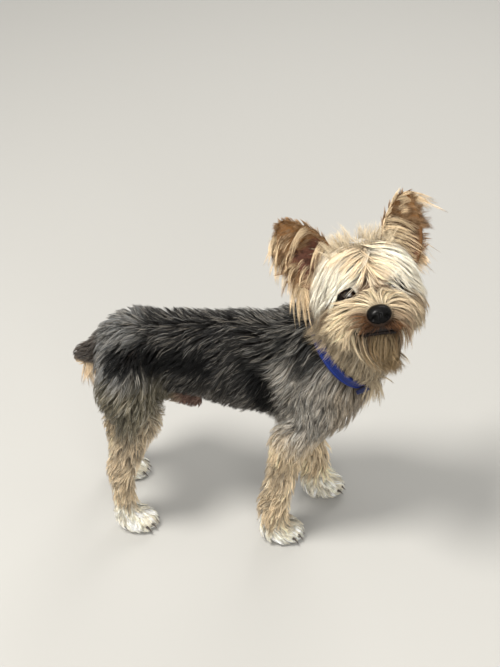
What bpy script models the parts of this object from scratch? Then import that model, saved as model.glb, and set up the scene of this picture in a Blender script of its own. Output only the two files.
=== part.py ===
# A yorkshire terrier in life size, standing with its head turned to its right.
# Metres, +Z up. The dog faces +X, its left side is +Y and its soles lie at z = 0.
import math
import random

import bmesh
import bpy
import numpy as np
from mathutils import Matrix, Vector
from mathutils.kdtree import KDTree

# Driving dimensions
SHOULDER_HEIGHT = 0.211        # skin at the withers
CHEST_UNDERSIDE = 0.134        # skin under the chest
HALF_STANCE = 0.031            # from the middle of the body to each foot
COLLAR_WIDTH = 0.010
COLLAR_THICKNESS = 0.0018
CLAW_CLEARING = 0.007          # and ahead of each claw
COLLAR_CLEARING = 0.008        # height over the band that stays free of hair
BUCKLE_PLACE = 30              # of the 36 points round the collar
EYE_RADIUS = 0.0078
EYE_PLACE = (0.0285, 0.0165, 0.0050)   # forward, sideways and up from the head's centre
LID_THICKNESS = 0.0012
NOSE_PLACE = (0.0550, 0.0, -0.0082)
MOUTH_PLACE = (0.0280, 0.0, -0.0215)   # the middle of the arc that the mouth follows
EAR_LENGTH = 0.055
EAR_WIDTH = 0.039
EAR_CUP = 0.010                # depth of the cup
EAR_THICKNESS = 0.0022
TOUCHING = 0.000002             # closer than this, two points count as one
GAP = 0.0003                   # between pieces that touch
LOCK_SPACING = 1.42            # between roots, in lock widths
CORE_REACH = 0.45              # share of the coat's depth that the solid core fills
COLLAR_REACH = 0.60            # how far the collar is pressed into the coat

# The coat over each region: depth over the skin, and length and width of a lock
BACK = (0.0110, 0.034, 0.0155)
FLANK = (0.0130, 0.036, 0.0160)
CHEST = (0.0150, 0.034, 0.0165)
THIGH = (0.0110, 0.031, 0.0160)
LEG = (0.0080, 0.030, 0.0165)
SHANK = (0.0055, 0.026, 0.0140)
PAW = (0.0050, 0.017, 0.0115)
TAIL = (0.0045, 0.018, 0.0090)
BARE = (0.0030, 0.020, 0.0100)
CROWN = (0.0120, 0.029, 0.0120)
BROW = (0.0110, 0.024, 0.0105)
BRIDGE = (0.0050, 0.014, 0.0090)
CHEEK = (0.0140, 0.031, 0.0140)
MOUSTACHE = (0.0110, 0.026, 0.0115)
BEARD = (0.0160, 0.026, 0.0120)

# How the head is carried
HEAD_CENTRE = Vector((0.1032, -0.0258, 0.2754))
HEAD_TURN = math.radians(-80.2)
HEAD_RAISE = math.radians(22.5)
HEAD_TILT = math.radians(9.3)

# Where the joints lie
NECK_ROOT = Vector((0.066, 0.0, 0.190))
NECK_MIDDLE = Vector((0.095, -0.010, 0.214))
NECK_TOP = Vector((0.102, -0.017, 0.250))
TAIL_ROOT = Vector((-0.104, 0.0, 0.187))
TAIL_TIP = Vector((-0.131, 0.0, 0.172))
SHOULDER = Vector((0.076, 0.023, 0.156))
BLADE_TOP = Vector((0.052, 0.013, 0.196))
HIP = Vector((-0.088, 0.018, 0.176))

COLLAR_CENTRE = Vector((0.092, -0.010, 0.204))
COLLAR_AXIS = Vector((0.75, -0.10, 0.60)).normalized()

# Each leg's own stance: elbow or stifle, wrist or hock, and the middle of the foot
FORELEGS = {
    "right": (Vector((0.049, 0.033, 0.118)), Vector((0.036, 0.033, 0.045)), Vector((0.045, HALF_STANCE, 0.009))),
    "left": (Vector((0.052, 0.033, 0.116)), Vector((0.067, 0.033, 0.045)), Vector((0.079, HALF_STANCE, 0.009))),
}
HIND_LEGS = {
    "right": (Vector((-0.079, 0.035, 0.135)), Vector((-0.100, 0.032, 0.070)), Vector((-0.088, HALF_STANCE, 0.009))),
    "left": (Vector((-0.084, 0.035, 0.133)), Vector((-0.117, 0.034, 0.070)), Vector((-0.107, 0.036, 0.009))),
}
SIDES = {"right": -1.0, "left": 1.0}

# Which way the coat lies
BACKWARD_DOWN = Vector((-0.85, 0.0, -0.50))
DOWN = Vector((-0.30, 0.0, -0.95))
DOWN_THE_NECK = Vector((-0.50, 0.12, -0.85))
OVER_THE_TOES = Vector((0.80, 0.0, -0.50))


def head_axes():
    # Forward, left and up of the head, as the columns of a matrix.
    forward = Vector((math.cos(HEAD_TURN) * math.cos(HEAD_RAISE),
                      math.sin(HEAD_TURN) * math.cos(HEAD_RAISE), math.sin(HEAD_RAISE)))
    level_left = Vector((-math.sin(HEAD_TURN), math.cos(HEAD_TURN), 0.0))
    level_up = forward.cross(level_left)
    left = level_left * math.cos(HEAD_TILT) + level_up * math.sin(HEAD_TILT)
    return Matrix((forward, left, forward.cross(left))).transposed()


HEAD_AXES = head_axes()


def on_head(forward, left, up):
    # A point given from the head's centre.
    return HEAD_CENTRE + HEAD_AXES @ Vector((forward, left, up))


def along_head(forward, left, up):
    return HEAD_AXES @ Vector((forward, left, up))


def mirrored(point, side):
    return Vector((point.x, point.y * SIDES[side], point.z))


# Flesh: forms that blend into one another

class Rod:
    # A tapered rod with round ends.
    def __init__(self, start, end, start_radius, end_radius, coat, lie):
        self.start = np.array(start)
        self.end = np.array(end)
        self.radii = (start_radius, end_radius)
        self.depth = coat[0]
        self.hair = np.array((*coat, *lie))

    def distance(self, points):
        along = self.end - self.start
        share = np.clip((points - self.start) @ along / (along @ along), 0.0, 1.0)
        nearest = self.start + share[:, None] * along
        radius = self.radii[0] + share * (self.radii[1] - self.radii[0])
        return np.linalg.norm(points - nearest, axis=1) - radius

    def shell(self, grow):
        points = []
        for centre, radius in zip((self.start, self.end), self.radii):
            points += [Vector(centre) + p * (radius + grow) for p in BALL_POINTS]
        return points


class Egg:
    # An ellipsoid, turned by the columns of its axes.
    def __init__(self, centre, radii, axes, coat, lie):
        self.centre = np.array(centre)
        self.radii = np.array(radii)
        self.axes = np.array(axes)
        self.depth = coat[0]
        self.hair = np.array((*coat, *lie))

    def distance(self, points):
        local = (points - self.centre) @ self.axes
        near = np.linalg.norm(local / self.radii, axis=1) + 1e-9
        far = np.linalg.norm(local / self.radii ** 2, axis=1) + 1e-9
        return near * (near - 1.0) / far

    def shell(self, grow):
        turn = Matrix(self.axes.tolist())
        stretch = self.radii + grow
        return [Vector(self.centre) + turn @ Vector(p * Vector(stretch)) for p in BALL_POINTS]


def ball_points():
    shape = bmesh.new()
    bmesh.ops.create_icosphere(shape, subdivisions=2, radius=1.0)
    points = [vert.co.copy() for vert in shape.verts]
    shape.free()
    return points


BALL_POINTS = ball_points()
LEVEL = Matrix.Identity(3)


class Flesh:
    # Forms joined smoothly. Where they meet, they share the coat's depth, lock sizes and lie.
    def __init__(self, forms, softness):
        self.forms = forms
        self.softness = softness

    def measure(self, points):
        apart = np.stack([form.distance(points) for form in self.forms])
        least = apart.min(axis=0)
        weights = np.exp(-(apart - least) / self.softness)
        total = weights.sum(axis=0)
        distance = least - self.softness * np.log(total)
        hair = (weights / total).T @ np.stack([form.hair for form in self.forms])
        return distance, hair

    def level(self, points, reach):
        distance, hair = self.measure(points)
        return distance - reach * hair[:, 0]

    def slope(self, points, reach):
        step = 2e-4
        sides = [self.level(points + step * axis, reach) - self.level(points - step * axis, reach)
                 for axis in np.eye(3)]
        return np.stack(sides, axis=1) / (2 * step)

    def settle(self, points, reach, rounds=4):
        # Moves points along the slope until they lie at the given share of the coat's depth.
        for _ in range(rounds):
            slope = self.slope(points, reach)
            steep = np.maximum((slope ** 2).sum(axis=1), 0.09)
            off = self.level(points, reach)
            points = points - np.clip(off / steep, -0.01, 0.01)[:, None] * slope
        return points


def trunk_forms():
    lie = BACKWARD_DOWN
    middle = (SHOULDER_HEIGHT + CHEST_UNDERSIDE) / 2
    depth = (SHOULDER_HEIGHT - CHEST_UNDERSIDE) / 2
    forms = [
        Egg((0.060, 0.0, middle), (0.046, 0.029, depth), LEVEL, CHEST, lie),
        Egg((0.012, 0.0, middle + 0.005), (0.056, 0.029, depth - 0.005), LEVEL, FLANK, lie),
        Egg((-0.040, 0.0, middle + 0.009), (0.050, 0.025, depth - 0.010), LEVEL, BACK, lie),
        Egg((-0.082, 0.0, middle + 0.008), (0.034, 0.025, depth - 0.012), LEVEL, BACK, lie),
        Rod((-0.062, -0.006, 0.147), (-0.037, -0.006, 0.140), 0.0070, 0.0058, BARE, lie),
    ]
    for sign in SIDES.values():
        top_of_blade = Vector((BLADE_TOP.x, BLADE_TOP.y * sign, BLADE_TOP.z))
        shoulder = Vector((SHOULDER.x, SHOULDER.y * sign, SHOULDER.z))
        forms.append(Rod(top_of_blade, shoulder, 0.013, 0.015, CHEST, DOWN))
    return forms


def neck_forms():
    return [
        Rod(NECK_ROOT, NECK_MIDDLE, 0.031, 0.026, CHEST, DOWN_THE_NECK),
        Rod(NECK_MIDDLE, NECK_TOP, 0.026, 0.022, CHEST, DOWN_THE_NECK),
    ]


def tail_forms():
    return [Rod(TAIL_ROOT, TAIL_TIP, 0.0075, 0.0055, TAIL, (TAIL_TIP - TAIL_ROOT).normalized())]


def foreleg_forms(side):
    elbow, wrist, foot = (mirrored(point, side) for point in FORELEGS[side])
    shoulder = mirrored(SHOULDER, side)
    heel = foot + Vector((-0.009, 0.0, 0.003))
    return [
        Rod(shoulder, elbow, 0.0140, 0.0090, THIGH, DOWN),
        Rod(elbow, wrist, 0.0092, 0.0065, LEG, DOWN),
        Rod(wrist, heel, 0.0066, 0.0075, LEG, DOWN),
        Egg(foot, (0.0150, 0.0108, 0.0090), LEVEL, PAW, OVER_THE_TOES),
    ]


def hind_leg_forms(side):
    stifle, hock, foot = (mirrored(point, side) for point in HIND_LEGS[side])
    hip = mirrored(HIP, side)
    thigh = Vector((hip.x, 0.4 * hip.y + 0.6 * stifle.y, 0.5 * (hip.z + stifle.z)))
    heel = foot + Vector((-0.010, 0.0, 0.005))
    return [
        Rod(hip, thigh, 0.0200, 0.0180, THIGH, DOWN),
        Rod(thigh, stifle, 0.0180, 0.0115, THIGH, DOWN),
        Rod(stifle, hock, 0.0115, 0.0062, LEG, DOWN),
        Rod(hock, heel, 0.0058, 0.0065, SHANK, DOWN),
        Egg(foot, (0.0150, 0.0108, 0.0090), LEVEL, PAW, OVER_THE_TOES),
    ]


def head_forms():
    # The coat parts along the middle of the head and falls to both sides.
    turn = HEAD_AXES
    forms = [
        Egg(on_head(-0.012, 0.0, -0.002), (0.024, 0.027, 0.026), turn, CROWN, along_head(-0.6, 0.0, -0.8)),
        Rod(on_head(0.026, 0.0, -0.010), on_head(0.047, 0.0, -0.0115), 0.0145, 0.0100, BRIDGE,
            along_head(-0.4, 0.0, -0.2)),
        Rod(on_head(0.010, 0.0, -0.026), on_head(0.038, 0.0, -0.026), 0.0115, 0.0080, BEARD,
            along_head(0.15, 0.0, -1.0)),
    ]
    for sign in SIDES.values():
        forms += [
            Egg(on_head(-0.001, 0.004 * sign, 0.003), (0.032, 0.025, 0.026), turn, CROWN,
                along_head(0.25, 0.80 * sign, -0.35)),
            Egg(on_head(0.021, 0.007 * sign, 0.010), (0.014, 0.012, 0.013), turn, BROW,
                along_head(0.45, 0.55 * sign, -0.60)),
            Egg(on_head(0.006, 0.019 * sign, -0.012), (0.020, 0.012, 0.016), turn, CHEEK,
                along_head(-0.25, 0.60 * sign, -0.75)),
            Rod(on_head(0.032, 0.008 * sign, -0.014), on_head(0.042, 0.006 * sign, -0.015), 0.0100, 0.0080,
                MOUSTACHE, along_head(-0.10, 0.80 * sign, -0.60)),
        ]
    return forms


def dog_flesh():
    forms = trunk_forms() + neck_forms() + tail_forms() + head_forms()
    for side in SIDES:
        forms += foreleg_forms(side) + hind_leg_forms(side)
    return Flesh(forms, softness=0.003)


# Meshes and joins

def clear_scene():
    for item in list(bpy.data.objects):
        bpy.data.objects.remove(item, do_unlink=True)


def new_object(name, mesh):
    item = bpy.data.objects.new(name, mesh)
    bpy.context.scene.collection.objects.link(item)
    return item


def object_from_shape(name, shape):
    bmesh.ops.recalc_face_normals(shape, faces=shape.faces)
    mesh = bpy.data.meshes.new(name)
    shape.to_mesh(mesh)
    shape.free()
    return new_object(name, mesh)


def baked(item):
    # The object with its modifiers made part of its mesh.
    graph = bpy.context.evaluated_depsgraph_get()
    mesh = bpy.data.meshes.new_from_object(item.evaluated_get(graph))
    item.modifiers.clear()
    item.data = mesh
    return item


def combined(item, others, operation):
    # One Boolean between an object and a collection of closed pieces.
    if not others:
        return item
    group = bpy.data.collections.new(item.name + "_pieces")
    bpy.context.scene.collection.children.link(group)
    for other in others:
        group.objects.link(other)
    join = item.modifiers.new("join", "BOOLEAN")
    join.operand_type = "COLLECTION"
    join.collection = group
    join.operation = operation
    join.solver = "MANIFOLD"
    baked(item)
    for other in others:
        bpy.data.objects.remove(other, do_unlink=True)
    bpy.data.collections.remove(group)
    return item


def keep_largest(item):
    # Drops loose scraps and sealed hollows, leaving one closed surface of triangles.
    shape = bmesh.new()
    shape.from_mesh(item.data)
    bmesh.ops.dissolve_degenerate(shape, dist=TOUCHING, edges=shape.edges)
    bmesh.ops.triangulate(shape, faces=shape.faces)
    unseen = set(shape.faces)
    largest = set()
    while unseen:
        seed = unseen.pop()
        patch = {seed}
        edge_of_patch = [seed]
        while edge_of_patch:
            face = edge_of_patch.pop()
            for edge in face.edges:
                if len(edge.link_faces) != 2:
                    continue
                for neighbour in edge.link_faces:
                    if neighbour in unseen:
                        unseen.discard(neighbour)
                        patch.add(neighbour)
                        edge_of_patch.append(neighbour)
        largest = max(largest, patch, key=len)
    bmesh.ops.delete(shape, geom=[face for face in shape.faces if face not in largest], context="FACES")
    bmesh.ops.delete(shape, geom=[edge for edge in shape.edges if not edge.link_faces], context="EDGES")
    draw_apart(shape)
    shape.to_mesh(item.data)
    shape.free()
    return item


def draw_apart(shape):
    # Where two stretches of the surface touch, each is drawn a hair's breadth towards its own side.
    shape.normal_update()
    shape.verts.index_update()
    tree = KDTree(len(shape.verts))
    for vert in shape.verts:
        tree.insert(vert.co, vert.index)
    tree.balance()
    touching = [vert for vert in shape.verts if len(tree.find_range(vert.co, TOUCHING)) > 1]
    moves = []
    for vert in touching:
        ends = [edge.other_vert(vert).co - vert.co for edge in vert.link_edges]
        moves.append(sum((end.normalized() for end in ends), -vert.normal).normalized())
    for vert, move in zip(touching, moves):
        vert.co += move * (5 * TOUCHING)


def hull(name, points):
    shape = bmesh.new()
    for point in points:
        shape.verts.new(point)
    found = bmesh.ops.convex_hull(shape, input=shape.verts)
    spare = [part for part in found["geom_unused"] + found["geom_interior"] if isinstance(part, bmesh.types.BMVert)]
    bmesh.ops.delete(shape, geom=list(set(spare)), context="VERTS")
    return object_from_shape(name, shape)


def surface(name, flesh, forms, reach, voxel, faces):
    # A closed mesh round some forms, lying at the given share of the coat's depth.
    shape = bmesh.new()
    for form in forms:
        part = bmesh.new()
        for point in form.shell(reach * form.depth + 0.001):
            part.verts.new(point)
        found = bmesh.ops.convex_hull(part, input=part.verts)
        spare = [v for v in found["geom_unused"] + found["geom_interior"] if isinstance(v, bmesh.types.BMVert)]
        bmesh.ops.delete(part, geom=list(set(spare)), context="VERTS")
        mesh = bpy.data.meshes.new("form")
        part.to_mesh(mesh)
        part.free()
        shape.from_mesh(mesh)
        bpy.data.meshes.remove(mesh)
    item = object_from_shape(name, shape)
    blend = item.modifiers.new("blend", "REMESH")
    blend.mode = "VOXEL"
    blend.voxel_size = voxel
    baked(item)
    count = len(item.data.vertices)
    points = np.empty(count * 3)
    item.data.vertices.foreach_get("co", points)
    points = flesh.settle(points.reshape(count, 3), reach)
    item.data.vertices.foreach_set("co", points.ravel())
    triangles = item.modifiers.new("triangles", "TRIANGULATE")
    triangles.min_vertices = 4
    thin = item.modifiers.new("thin", "DECIMATE")
    thin.ratio = min(1.0, faces / (2.0 * len(item.data.polygons)))
    return baked(item)


# Locks of the coat

LOCK_SHARES = (0.0, 0.28, 0.62)        # where along a lock its rings lie, short of the tip
LOCK_REACHES = (0.10, 0.74, 0.96, 1.0)  # how far out of the coat its ridge has risen there, and at its tip
LOCK_WIDTHS = (0.66, 1.0, 0.72)
LOCK_DROPS = (0.04, 0.36, 0.40)        # how far its edges lie below the ridge, of the coat's depth
EAR_LOCK_DROPS = (0.0010, 0.0014, 0.0010)


def scattered(mesh, flesh, spacing, seed):
    # Points spread evenly over a mesh, closer together where the locks are narrower.
    mesh.calc_loop_triangles()
    corners = np.array([[mesh.vertices[i].co for i in tri.vertices] for tri in mesh.loop_triangles])
    areas = np.linalg.norm(np.cross(corners[:, 1] - corners[:, 0], corners[:, 2] - corners[:, 0]), axis=1)
    draw = np.random.default_rng(seed)
    chosen = draw.choice(len(corners), size=14000, p=areas / areas.sum())
    mix = draw.dirichlet((1.0, 1.0, 1.0), size=len(chosen))
    points = np.einsum("ij,ijk->ik", mix, corners[chosen])
    widths = flesh.measure(points)[1][:, 2]
    kept = []
    for number, point in enumerate(points):
        if kept:
            apart = np.linalg.norm(points[kept] - point, axis=1)
            if (apart < spacing * np.minimum(widths[kept], widths[number])).any():
                continue
        kept.append(number)
    return points[kept]


def combed_paths(flesh, roots, seed):
    # One path for each root: it starts sunk in the core and rises along the coat's lie to the tip.
    draw = np.random.default_rng(seed)
    hair = flesh.measure(roots)[1]
    lengths = hair[:, 1] * draw.uniform(0.85, 1.20, len(roots))
    stray = draw.normal(0.0, 0.12, (len(roots), 3))
    widths = hair[:, 2] * draw.uniform(0.85, 1.1, len(roots))
    paths = comb(flesh, roots, lengths, stray)
    from_collar = (paths - np.array(COLLAR_CENTRE)) @ np.array(COLLAR_AXIS)
    clear = 0.5 * COLLAR_WIDTH + 0.001
    crossing = (from_collar[:, 0] > clear) & (from_collar[:, -1] < clear)
    drop = from_collar[:, 0] - from_collar[:, -1]
    share = np.where(crossing, (from_collar[:, 0] - clear) / np.maximum(drop, 1e-6), 1.0)
    paths = comb(flesh, roots, lengths * share, stray)
    buried = np.abs(from_collar[:, 0]) < clear
    near = np.linalg.norm(roots - np.array(COLLAR_CENTRE), axis=1) < 0.06
    kept = ~(near & (buried | (lengths * share < 0.009)))
    paths = paths[kept]
    flat = paths.reshape(-1, 3)
    slope = flesh.slope(flat, 0.5)
    outward = (slope / np.linalg.norm(slope, axis=1, keepdims=True)).reshape(paths.shape)
    drops = np.outer(hair[kept, 0], LOCK_DROPS)
    return paths, outward, widths[kept], drops


def comb(flesh, roots, lengths, stray):
    stops = (*LOCK_SHARES, 1.0)
    points = flesh.settle(roots, LOCK_REACHES[0])
    rings = [points]
    for before, after, reach in zip(stops, stops[1:], LOCK_REACHES[1:]):
        slope = flesh.slope(points, 0.5)
        outward = slope / np.linalg.norm(slope, axis=1, keepdims=True)
        lie = flesh.measure(points)[1][:, 3:] + stray
        lie -= (lie * outward).sum(axis=1, keepdims=True) * outward
        lie /= np.linalg.norm(lie, axis=1, keepdims=True) + 1e-9
        points = flesh.settle(points + lie * (lengths * (after - before))[:, None], reach)
        rings.append(points)
    return np.stack(rings, axis=1)


def lock_rings(path, outward, width, drops):
    # The corners of a flat, tapered lock with a ridge: rings of three, and the tip.
    path = [Vector(point) for point in path]
    rings = []
    for number, share in enumerate(LOCK_WIDTHS):
        along = (path[number + 1] - path[max(0, number - 1)]).normalized()
        out = Vector(outward[number])
        out = (out - along * out.dot(along)).normalized()
        side = along.cross(out) * (0.5 * width * share)
        low = path[number] - out * drops[number]
        rings.append([low + side, path[number], low - side])
    return rings, path[-1]


def lock(corners, end):
    shape = bmesh.new()
    rings = [[shape.verts.new(corner) for corner in ring] for ring in corners]
    tip = shape.verts.new(end)
    for first, second in zip(rings, rings[1:]):
        for i in range(3):
            j = (i + 1) % 3
            shape.faces.new((first[i], first[j], second[j]))
            shape.faces.new((first[i], second[j], second[i]))
    for i in range(3):
        shape.faces.new((rings[-1][i], rings[-1][(i + 1) % 3], tip))
    shape.faces.new(rings[0])
    return object_from_shape("lock", shape)


def reaches_into(path, planes, margin):
    inside = np.ones(len(path), dtype=bool)
    for point, outward in planes:
        inside &= (path - np.array(point)) @ np.array(Vector(outward).normalized()) < margin
    return inside.any()


def block(name, planes, size=0.30):
    # A convex block bounded by planes, each a point and an outward direction.
    shape = bmesh.new()
    bmesh.ops.create_cube(shape, size=2 * size)
    bmesh.ops.translate(shape, verts=shape.verts, vec=planes[0][0])
    for point, outward in planes:
        bmesh.ops.bisect_plane(shape, geom=shape.verts[:] + shape.edges[:] + shape.faces[:],
                               plane_co=point, plane_no=outward, clear_outer=True)
        rim = [edge for edge in shape.edges if edge.is_boundary]
        bmesh.ops.edgeloop_fill(shape, edges=rim)
    return object_from_shape(name, shape)


def moved(planes, distance):
    return [(point + Vector(outward).normalized() * distance, outward) for point, outward in planes]


# Where the body is parted

def part_planes():
    # Each node's own space: planes that bound it, each a point and an outward direction.
    neck = (COLLAR_CENTRE - 0.013 * COLLAR_AXIS, -COLLAR_AXIS)
    behind_neck = (neck[0], COLLAR_AXIS)
    head = (Vector((0.098, -0.012, 0.236)), Vector((-0.27, 0.20, -0.94)))
    below_head = (head[0], -head[1])
    planes = {
        "head": [head],
        "neck": [neck, below_head],
        "tail": [(Vector((-0.113, 0.0, 0.182)), Vector((0.87, 0.0, 0.50)))],
    }
    for sign in SIDES.values():
        planes["tail"].append((Vector((-0.12, sign * 0.014, 0.18)), Vector((0.0, sign, 0.0))))
    planes["tail"].append((Vector((-0.120, 0.0, 0.162)), Vector((0.0, 0.0, -1.0))))
    for side, sign in SIDES.items():
        inner = (Vector((0.0, sign * 0.003, 0.1)), Vector((0.0, -sign, 0.0)))
        planes["foreleg_" + side] = [
            (Vector((0.050, sign * 0.018, 0.126)), Vector((0.0, -sign * 0.84, 0.54))),
            (Vector((0.050, 0.0, 0.170)), Vector((0.0, 0.0, 1.0))),
            (Vector((0.014, 0.0, 0.120)), Vector((-1.0, 0.0, 0.3))),
            behind_neck,
            inner,
        ]
        planes["hind_leg_" + side] = [
            (Vector((-0.085, sign * 0.012, 0.148)), Vector((0.0, -sign * 0.90, 0.42))),
            (Vector((-0.085, 0.0, 0.190)), Vector((0.0, 0.0, 1.0))),
            (Vector((-0.050, 0.0, 0.140)), Vector((1.0, 0.0, 0.35))),
            inner,
        ]
    return planes


def painted(item, colour, roughness, metallic=0.0):
    material = bpy.data.materials.new(item.name)
    material.use_nodes = True
    shader = material.node_tree.nodes["Principled BSDF"]
    shader.inputs["Base Color"].default_value = (*colour, 1.0)
    shader.inputs["Roughness"].default_value = roughness
    shader.inputs["Metallic"].default_value = metallic
    item.data.materials.clear()
    item.data.materials.append(material)
    item.data.shade_smooth()
    item.data.set_sharp_from_angle(angle=math.radians(40))
    return item


STEEL_GREY = (0.10, 0.105, 0.115)
SILVER_GREY = (0.30, 0.30, 0.31)
PALE_GOLD = (0.70, 0.58, 0.42)
TAN = (0.50, 0.34, 0.20)
CREAM = (0.72, 0.66, 0.56)
BLACK = (0.012, 0.011, 0.012)
BLUE = (0.010, 0.030, 0.200)
HORN = (0.060, 0.048, 0.040)


# Small pieces

def eye(side, grow=0.0):
    shape = bmesh.new()
    bmesh.ops.create_uvsphere(shape, u_segments=10, v_segments=7, radius=EYE_RADIUS + grow)
    place = Matrix.Translation(eye_centre(side)) @ HEAD_AXES.to_4x4()
    bmesh.ops.transform(shape, matrix=place, verts=shape.verts)
    return object_from_shape("eye_" + side, shape)


def eye_centre(side):
    return on_head(EYE_PLACE[0], EYE_PLACE[1] * SIDES[side], EYE_PLACE[2])


def lids(side):
    # A thin round shell over the eyeball, opened later between the lids.
    shape = bmesh.new()
    bmesh.ops.create_uvsphere(shape, u_segments=14, v_segments=10, radius=EYE_RADIUS + GAP + LID_THICKNESS)
    place = Matrix.Translation(eye_centre(side)) @ HEAD_AXES.to_4x4()
    bmesh.ops.transform(shape, matrix=place, verts=shape.verts)
    return object_from_shape("lids", shape)


def lid_opening(side):
    # An almond in front of the eye, its outer corner a little higher.
    sign = SIDES[side]
    shape = bmesh.new()
    bmesh.ops.create_uvsphere(shape, u_segments=12, v_segments=8, radius=1.0)
    size = Matrix.Diagonal((0.0070, 0.0066, 0.0040, 1.0))
    turn = Matrix.Rotation(sign * 0.42, 4, "Z") @ Matrix.Rotation(sign * 0.15, 4, "X")
    ahead = eye_centre(side) + along_head(0.91, 0.41 * sign, 0.0) * EYE_RADIUS
    place = Matrix.Translation(ahead) @ HEAD_AXES.to_4x4() @ turn @ size
    bmesh.ops.transform(shape, matrix=place, verts=shape.verts)
    return object_from_shape("opening", shape)


def eye_clearing(side):
    # The space in front of an eye that its hair leaves open.
    sign = SIDES[side]
    points = []
    for ahead, radius in ((0.004, 0.0060), (0.024, 0.0110)):
        centre = eye_centre(side) + along_head(ahead, 0.35 * ahead * sign, 0.0)
        points += [centre + p * radius for p in BALL_POINTS]
    return hull("eye_clearing", points)


def nose(grow=0.0):
    shape = bmesh.new()
    bmesh.ops.create_uvsphere(shape, u_segments=10, v_segments=7, radius=1.0)
    for vert in shape.verts:
        if vert.co.z < 0:
            vert.co.y *= 1.0 - 0.25 * vert.co.z * vert.co.z
    stretch = Matrix.Diagonal((0.0072 + grow, 0.0092 + grow, 0.0072 + grow, 1.0))
    place = Matrix.Translation(on_head(*NOSE_PLACE)) @ HEAD_AXES.to_4x4() @ stretch
    bmesh.ops.transform(shape, matrix=place, verts=shape.verts)
    item = object_from_shape("nose", shape)
    if grow:
        return item
    pits = []
    for sign in SIDES.values():
        pit = bmesh.new()
        bmesh.ops.create_uvsphere(pit, u_segments=6, v_segments=5, radius=1.0)
        size = Matrix.Diagonal((0.0032, 0.0017, 0.0023, 1.0))
        turn = Matrix.Rotation(-sign * 0.5, 4, "Z")
        ahead = Vector(NOSE_PLACE) + Vector((0.0062, 0.0043 * sign, -0.0012))
        place = Matrix.Translation(on_head(*ahead)) @ HEAD_AXES.to_4x4() @ turn @ size
        bmesh.ops.transform(pit, matrix=place, verts=pit.verts)
        pits.append(object_from_shape("nostril", pit))
    return combined(item, pits, "DIFFERENCE")


def ring_radii(flesh, centre, spokes, reach, start):
    # How far each spoke runs from the centre to the given share of the coat.
    radii = np.full(len(spokes), start)
    for _ in range(14):
        radii -= 0.8 * flesh.level(centre + spokes * radii[:, None], reach)
    return radii


def mouth_path(flesh, count=11):
    # An arc round the muzzle, from corner to corner, lower at the corners.
    angles = np.linspace(-1.25, 1.25, count)
    forward = np.array(along_head(1.0, 0.0, 0.0))
    left = np.array(along_head(0.0, 1.0, 0.0))
    up = np.array(along_head(0.0, 0.0, 1.0))
    spokes = np.outer(np.cos(angles), forward) + np.outer(np.sin(angles), left)
    centre = np.array(on_head(*MOUTH_PLACE)) - np.outer(0.0045 * np.sin(angles) ** 2, up)
    return centre, spokes, up, ring_radii(flesh, centre, spokes, 0.35, 0.026)


def strip(name, centre, spokes, up, inner, outer, low, high):
    # A closed band that follows an arc, between two radii and two heights.
    shape = bmesh.new()
    loops = []
    for radii, height in ((inner, low), (outer, low), (outer, high), (inner, high)):
        points = centre + spokes * np.reshape(radii, (-1, 1)) + up * height
        loops.append([shape.verts.new(point) for point in points])
    for first, second in zip(loops, loops[1:] + loops[:1]):
        for i in range(len(first) - 1):
            shape.faces.new((first[i], first[i + 1], second[i + 1], second[i]))
    for end in (0, -1):
        shape.faces.new([loop[end] for loop in loops])
    bmesh.ops.triangulate(shape, faces=shape.faces)
    return object_from_shape(name, shape)


def lips(flesh):
    centre, spokes, up, radii = mouth_path(flesh)
    return strip("lips", centre, spokes, up, radii - 0.004, radii + 0.0016, -0.0024, 0.0022)


def mouth_slot(flesh):
    centre, spokes, up, radii = mouth_path(flesh)
    return strip("mouth", centre, spokes, up, radii - 0.0035, radii + 0.012, -0.0005, 0.0005)


def mouth_clearing():
    # The space in front of the lips, between the two halves of the moustache.
    points = []
    for ahead, radius in ((0.0580, 0.0045), (0.0760, 0.0100)):
        points += [on_head(ahead, side * 0.006, -0.0215) + p * radius for p in BALL_POINTS for side in (-1, 1)]
    return hull("mouth_clearing", points)


def ear_axes(side):
    # The ear's root, and its directions: up to the tip, out to the side, and out of the cup.
    sign = SIDES[side]
    lean = 0.46 if side == "right" else 0.24
    root = on_head(-0.002, 0.0300 * sign, 0.0130)
    up = along_head(-0.28, sign * lean, 0.86).normalized()
    facing = along_head(1.0, sign * 0.30, 0.10)
    facing = (facing - up * facing.dot(up)).normalized()
    return root, up, facing.cross(up) * -sign, facing


def ear_half_width(share):
    # Half the width at a share of the length: broadest low down, round at the tip.
    return 0.5 * EAR_WIDTH * (0.10 + 0.90 * math.sin(math.pi * (0.24 + 0.76 * share)) ** 0.75)


def on_ear(axes, turn, share, lift=0.0):
    # A point on the middle of the leaf; turn runs from -1 at one edge to 1 at the other.
    root, up, across, facing = axes
    hollow = EAR_CUP * (1.0 - 0.6 * share) * (1.0 - turn * turn)
    half = ear_half_width(min(1.0, max(0.0, share)))
    return root + up * (EAR_LENGTH * share) + across * (half * turn) + facing * (lift - hollow)


def leaf_rows(side):
    # Rows of points over the front and the back of the leaf, from the root to the tip.
    axes = ear_axes(side)
    rows = []
    for row in range(7):
        share = row / 6
        turns = [column / 2 - 1.0 for column in range(5)]
        thin = [0.5 * EAR_THICKNESS * (1.0 - 0.45 * turn * turn) for turn in turns]
        rows.append(([on_ear(axes, turn, share, lift) for turn, lift in zip(turns, thin)],
                     [on_ear(axes, turn, share, -lift) for turn, lift in zip(turns, thin)]))
    return rows


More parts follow.
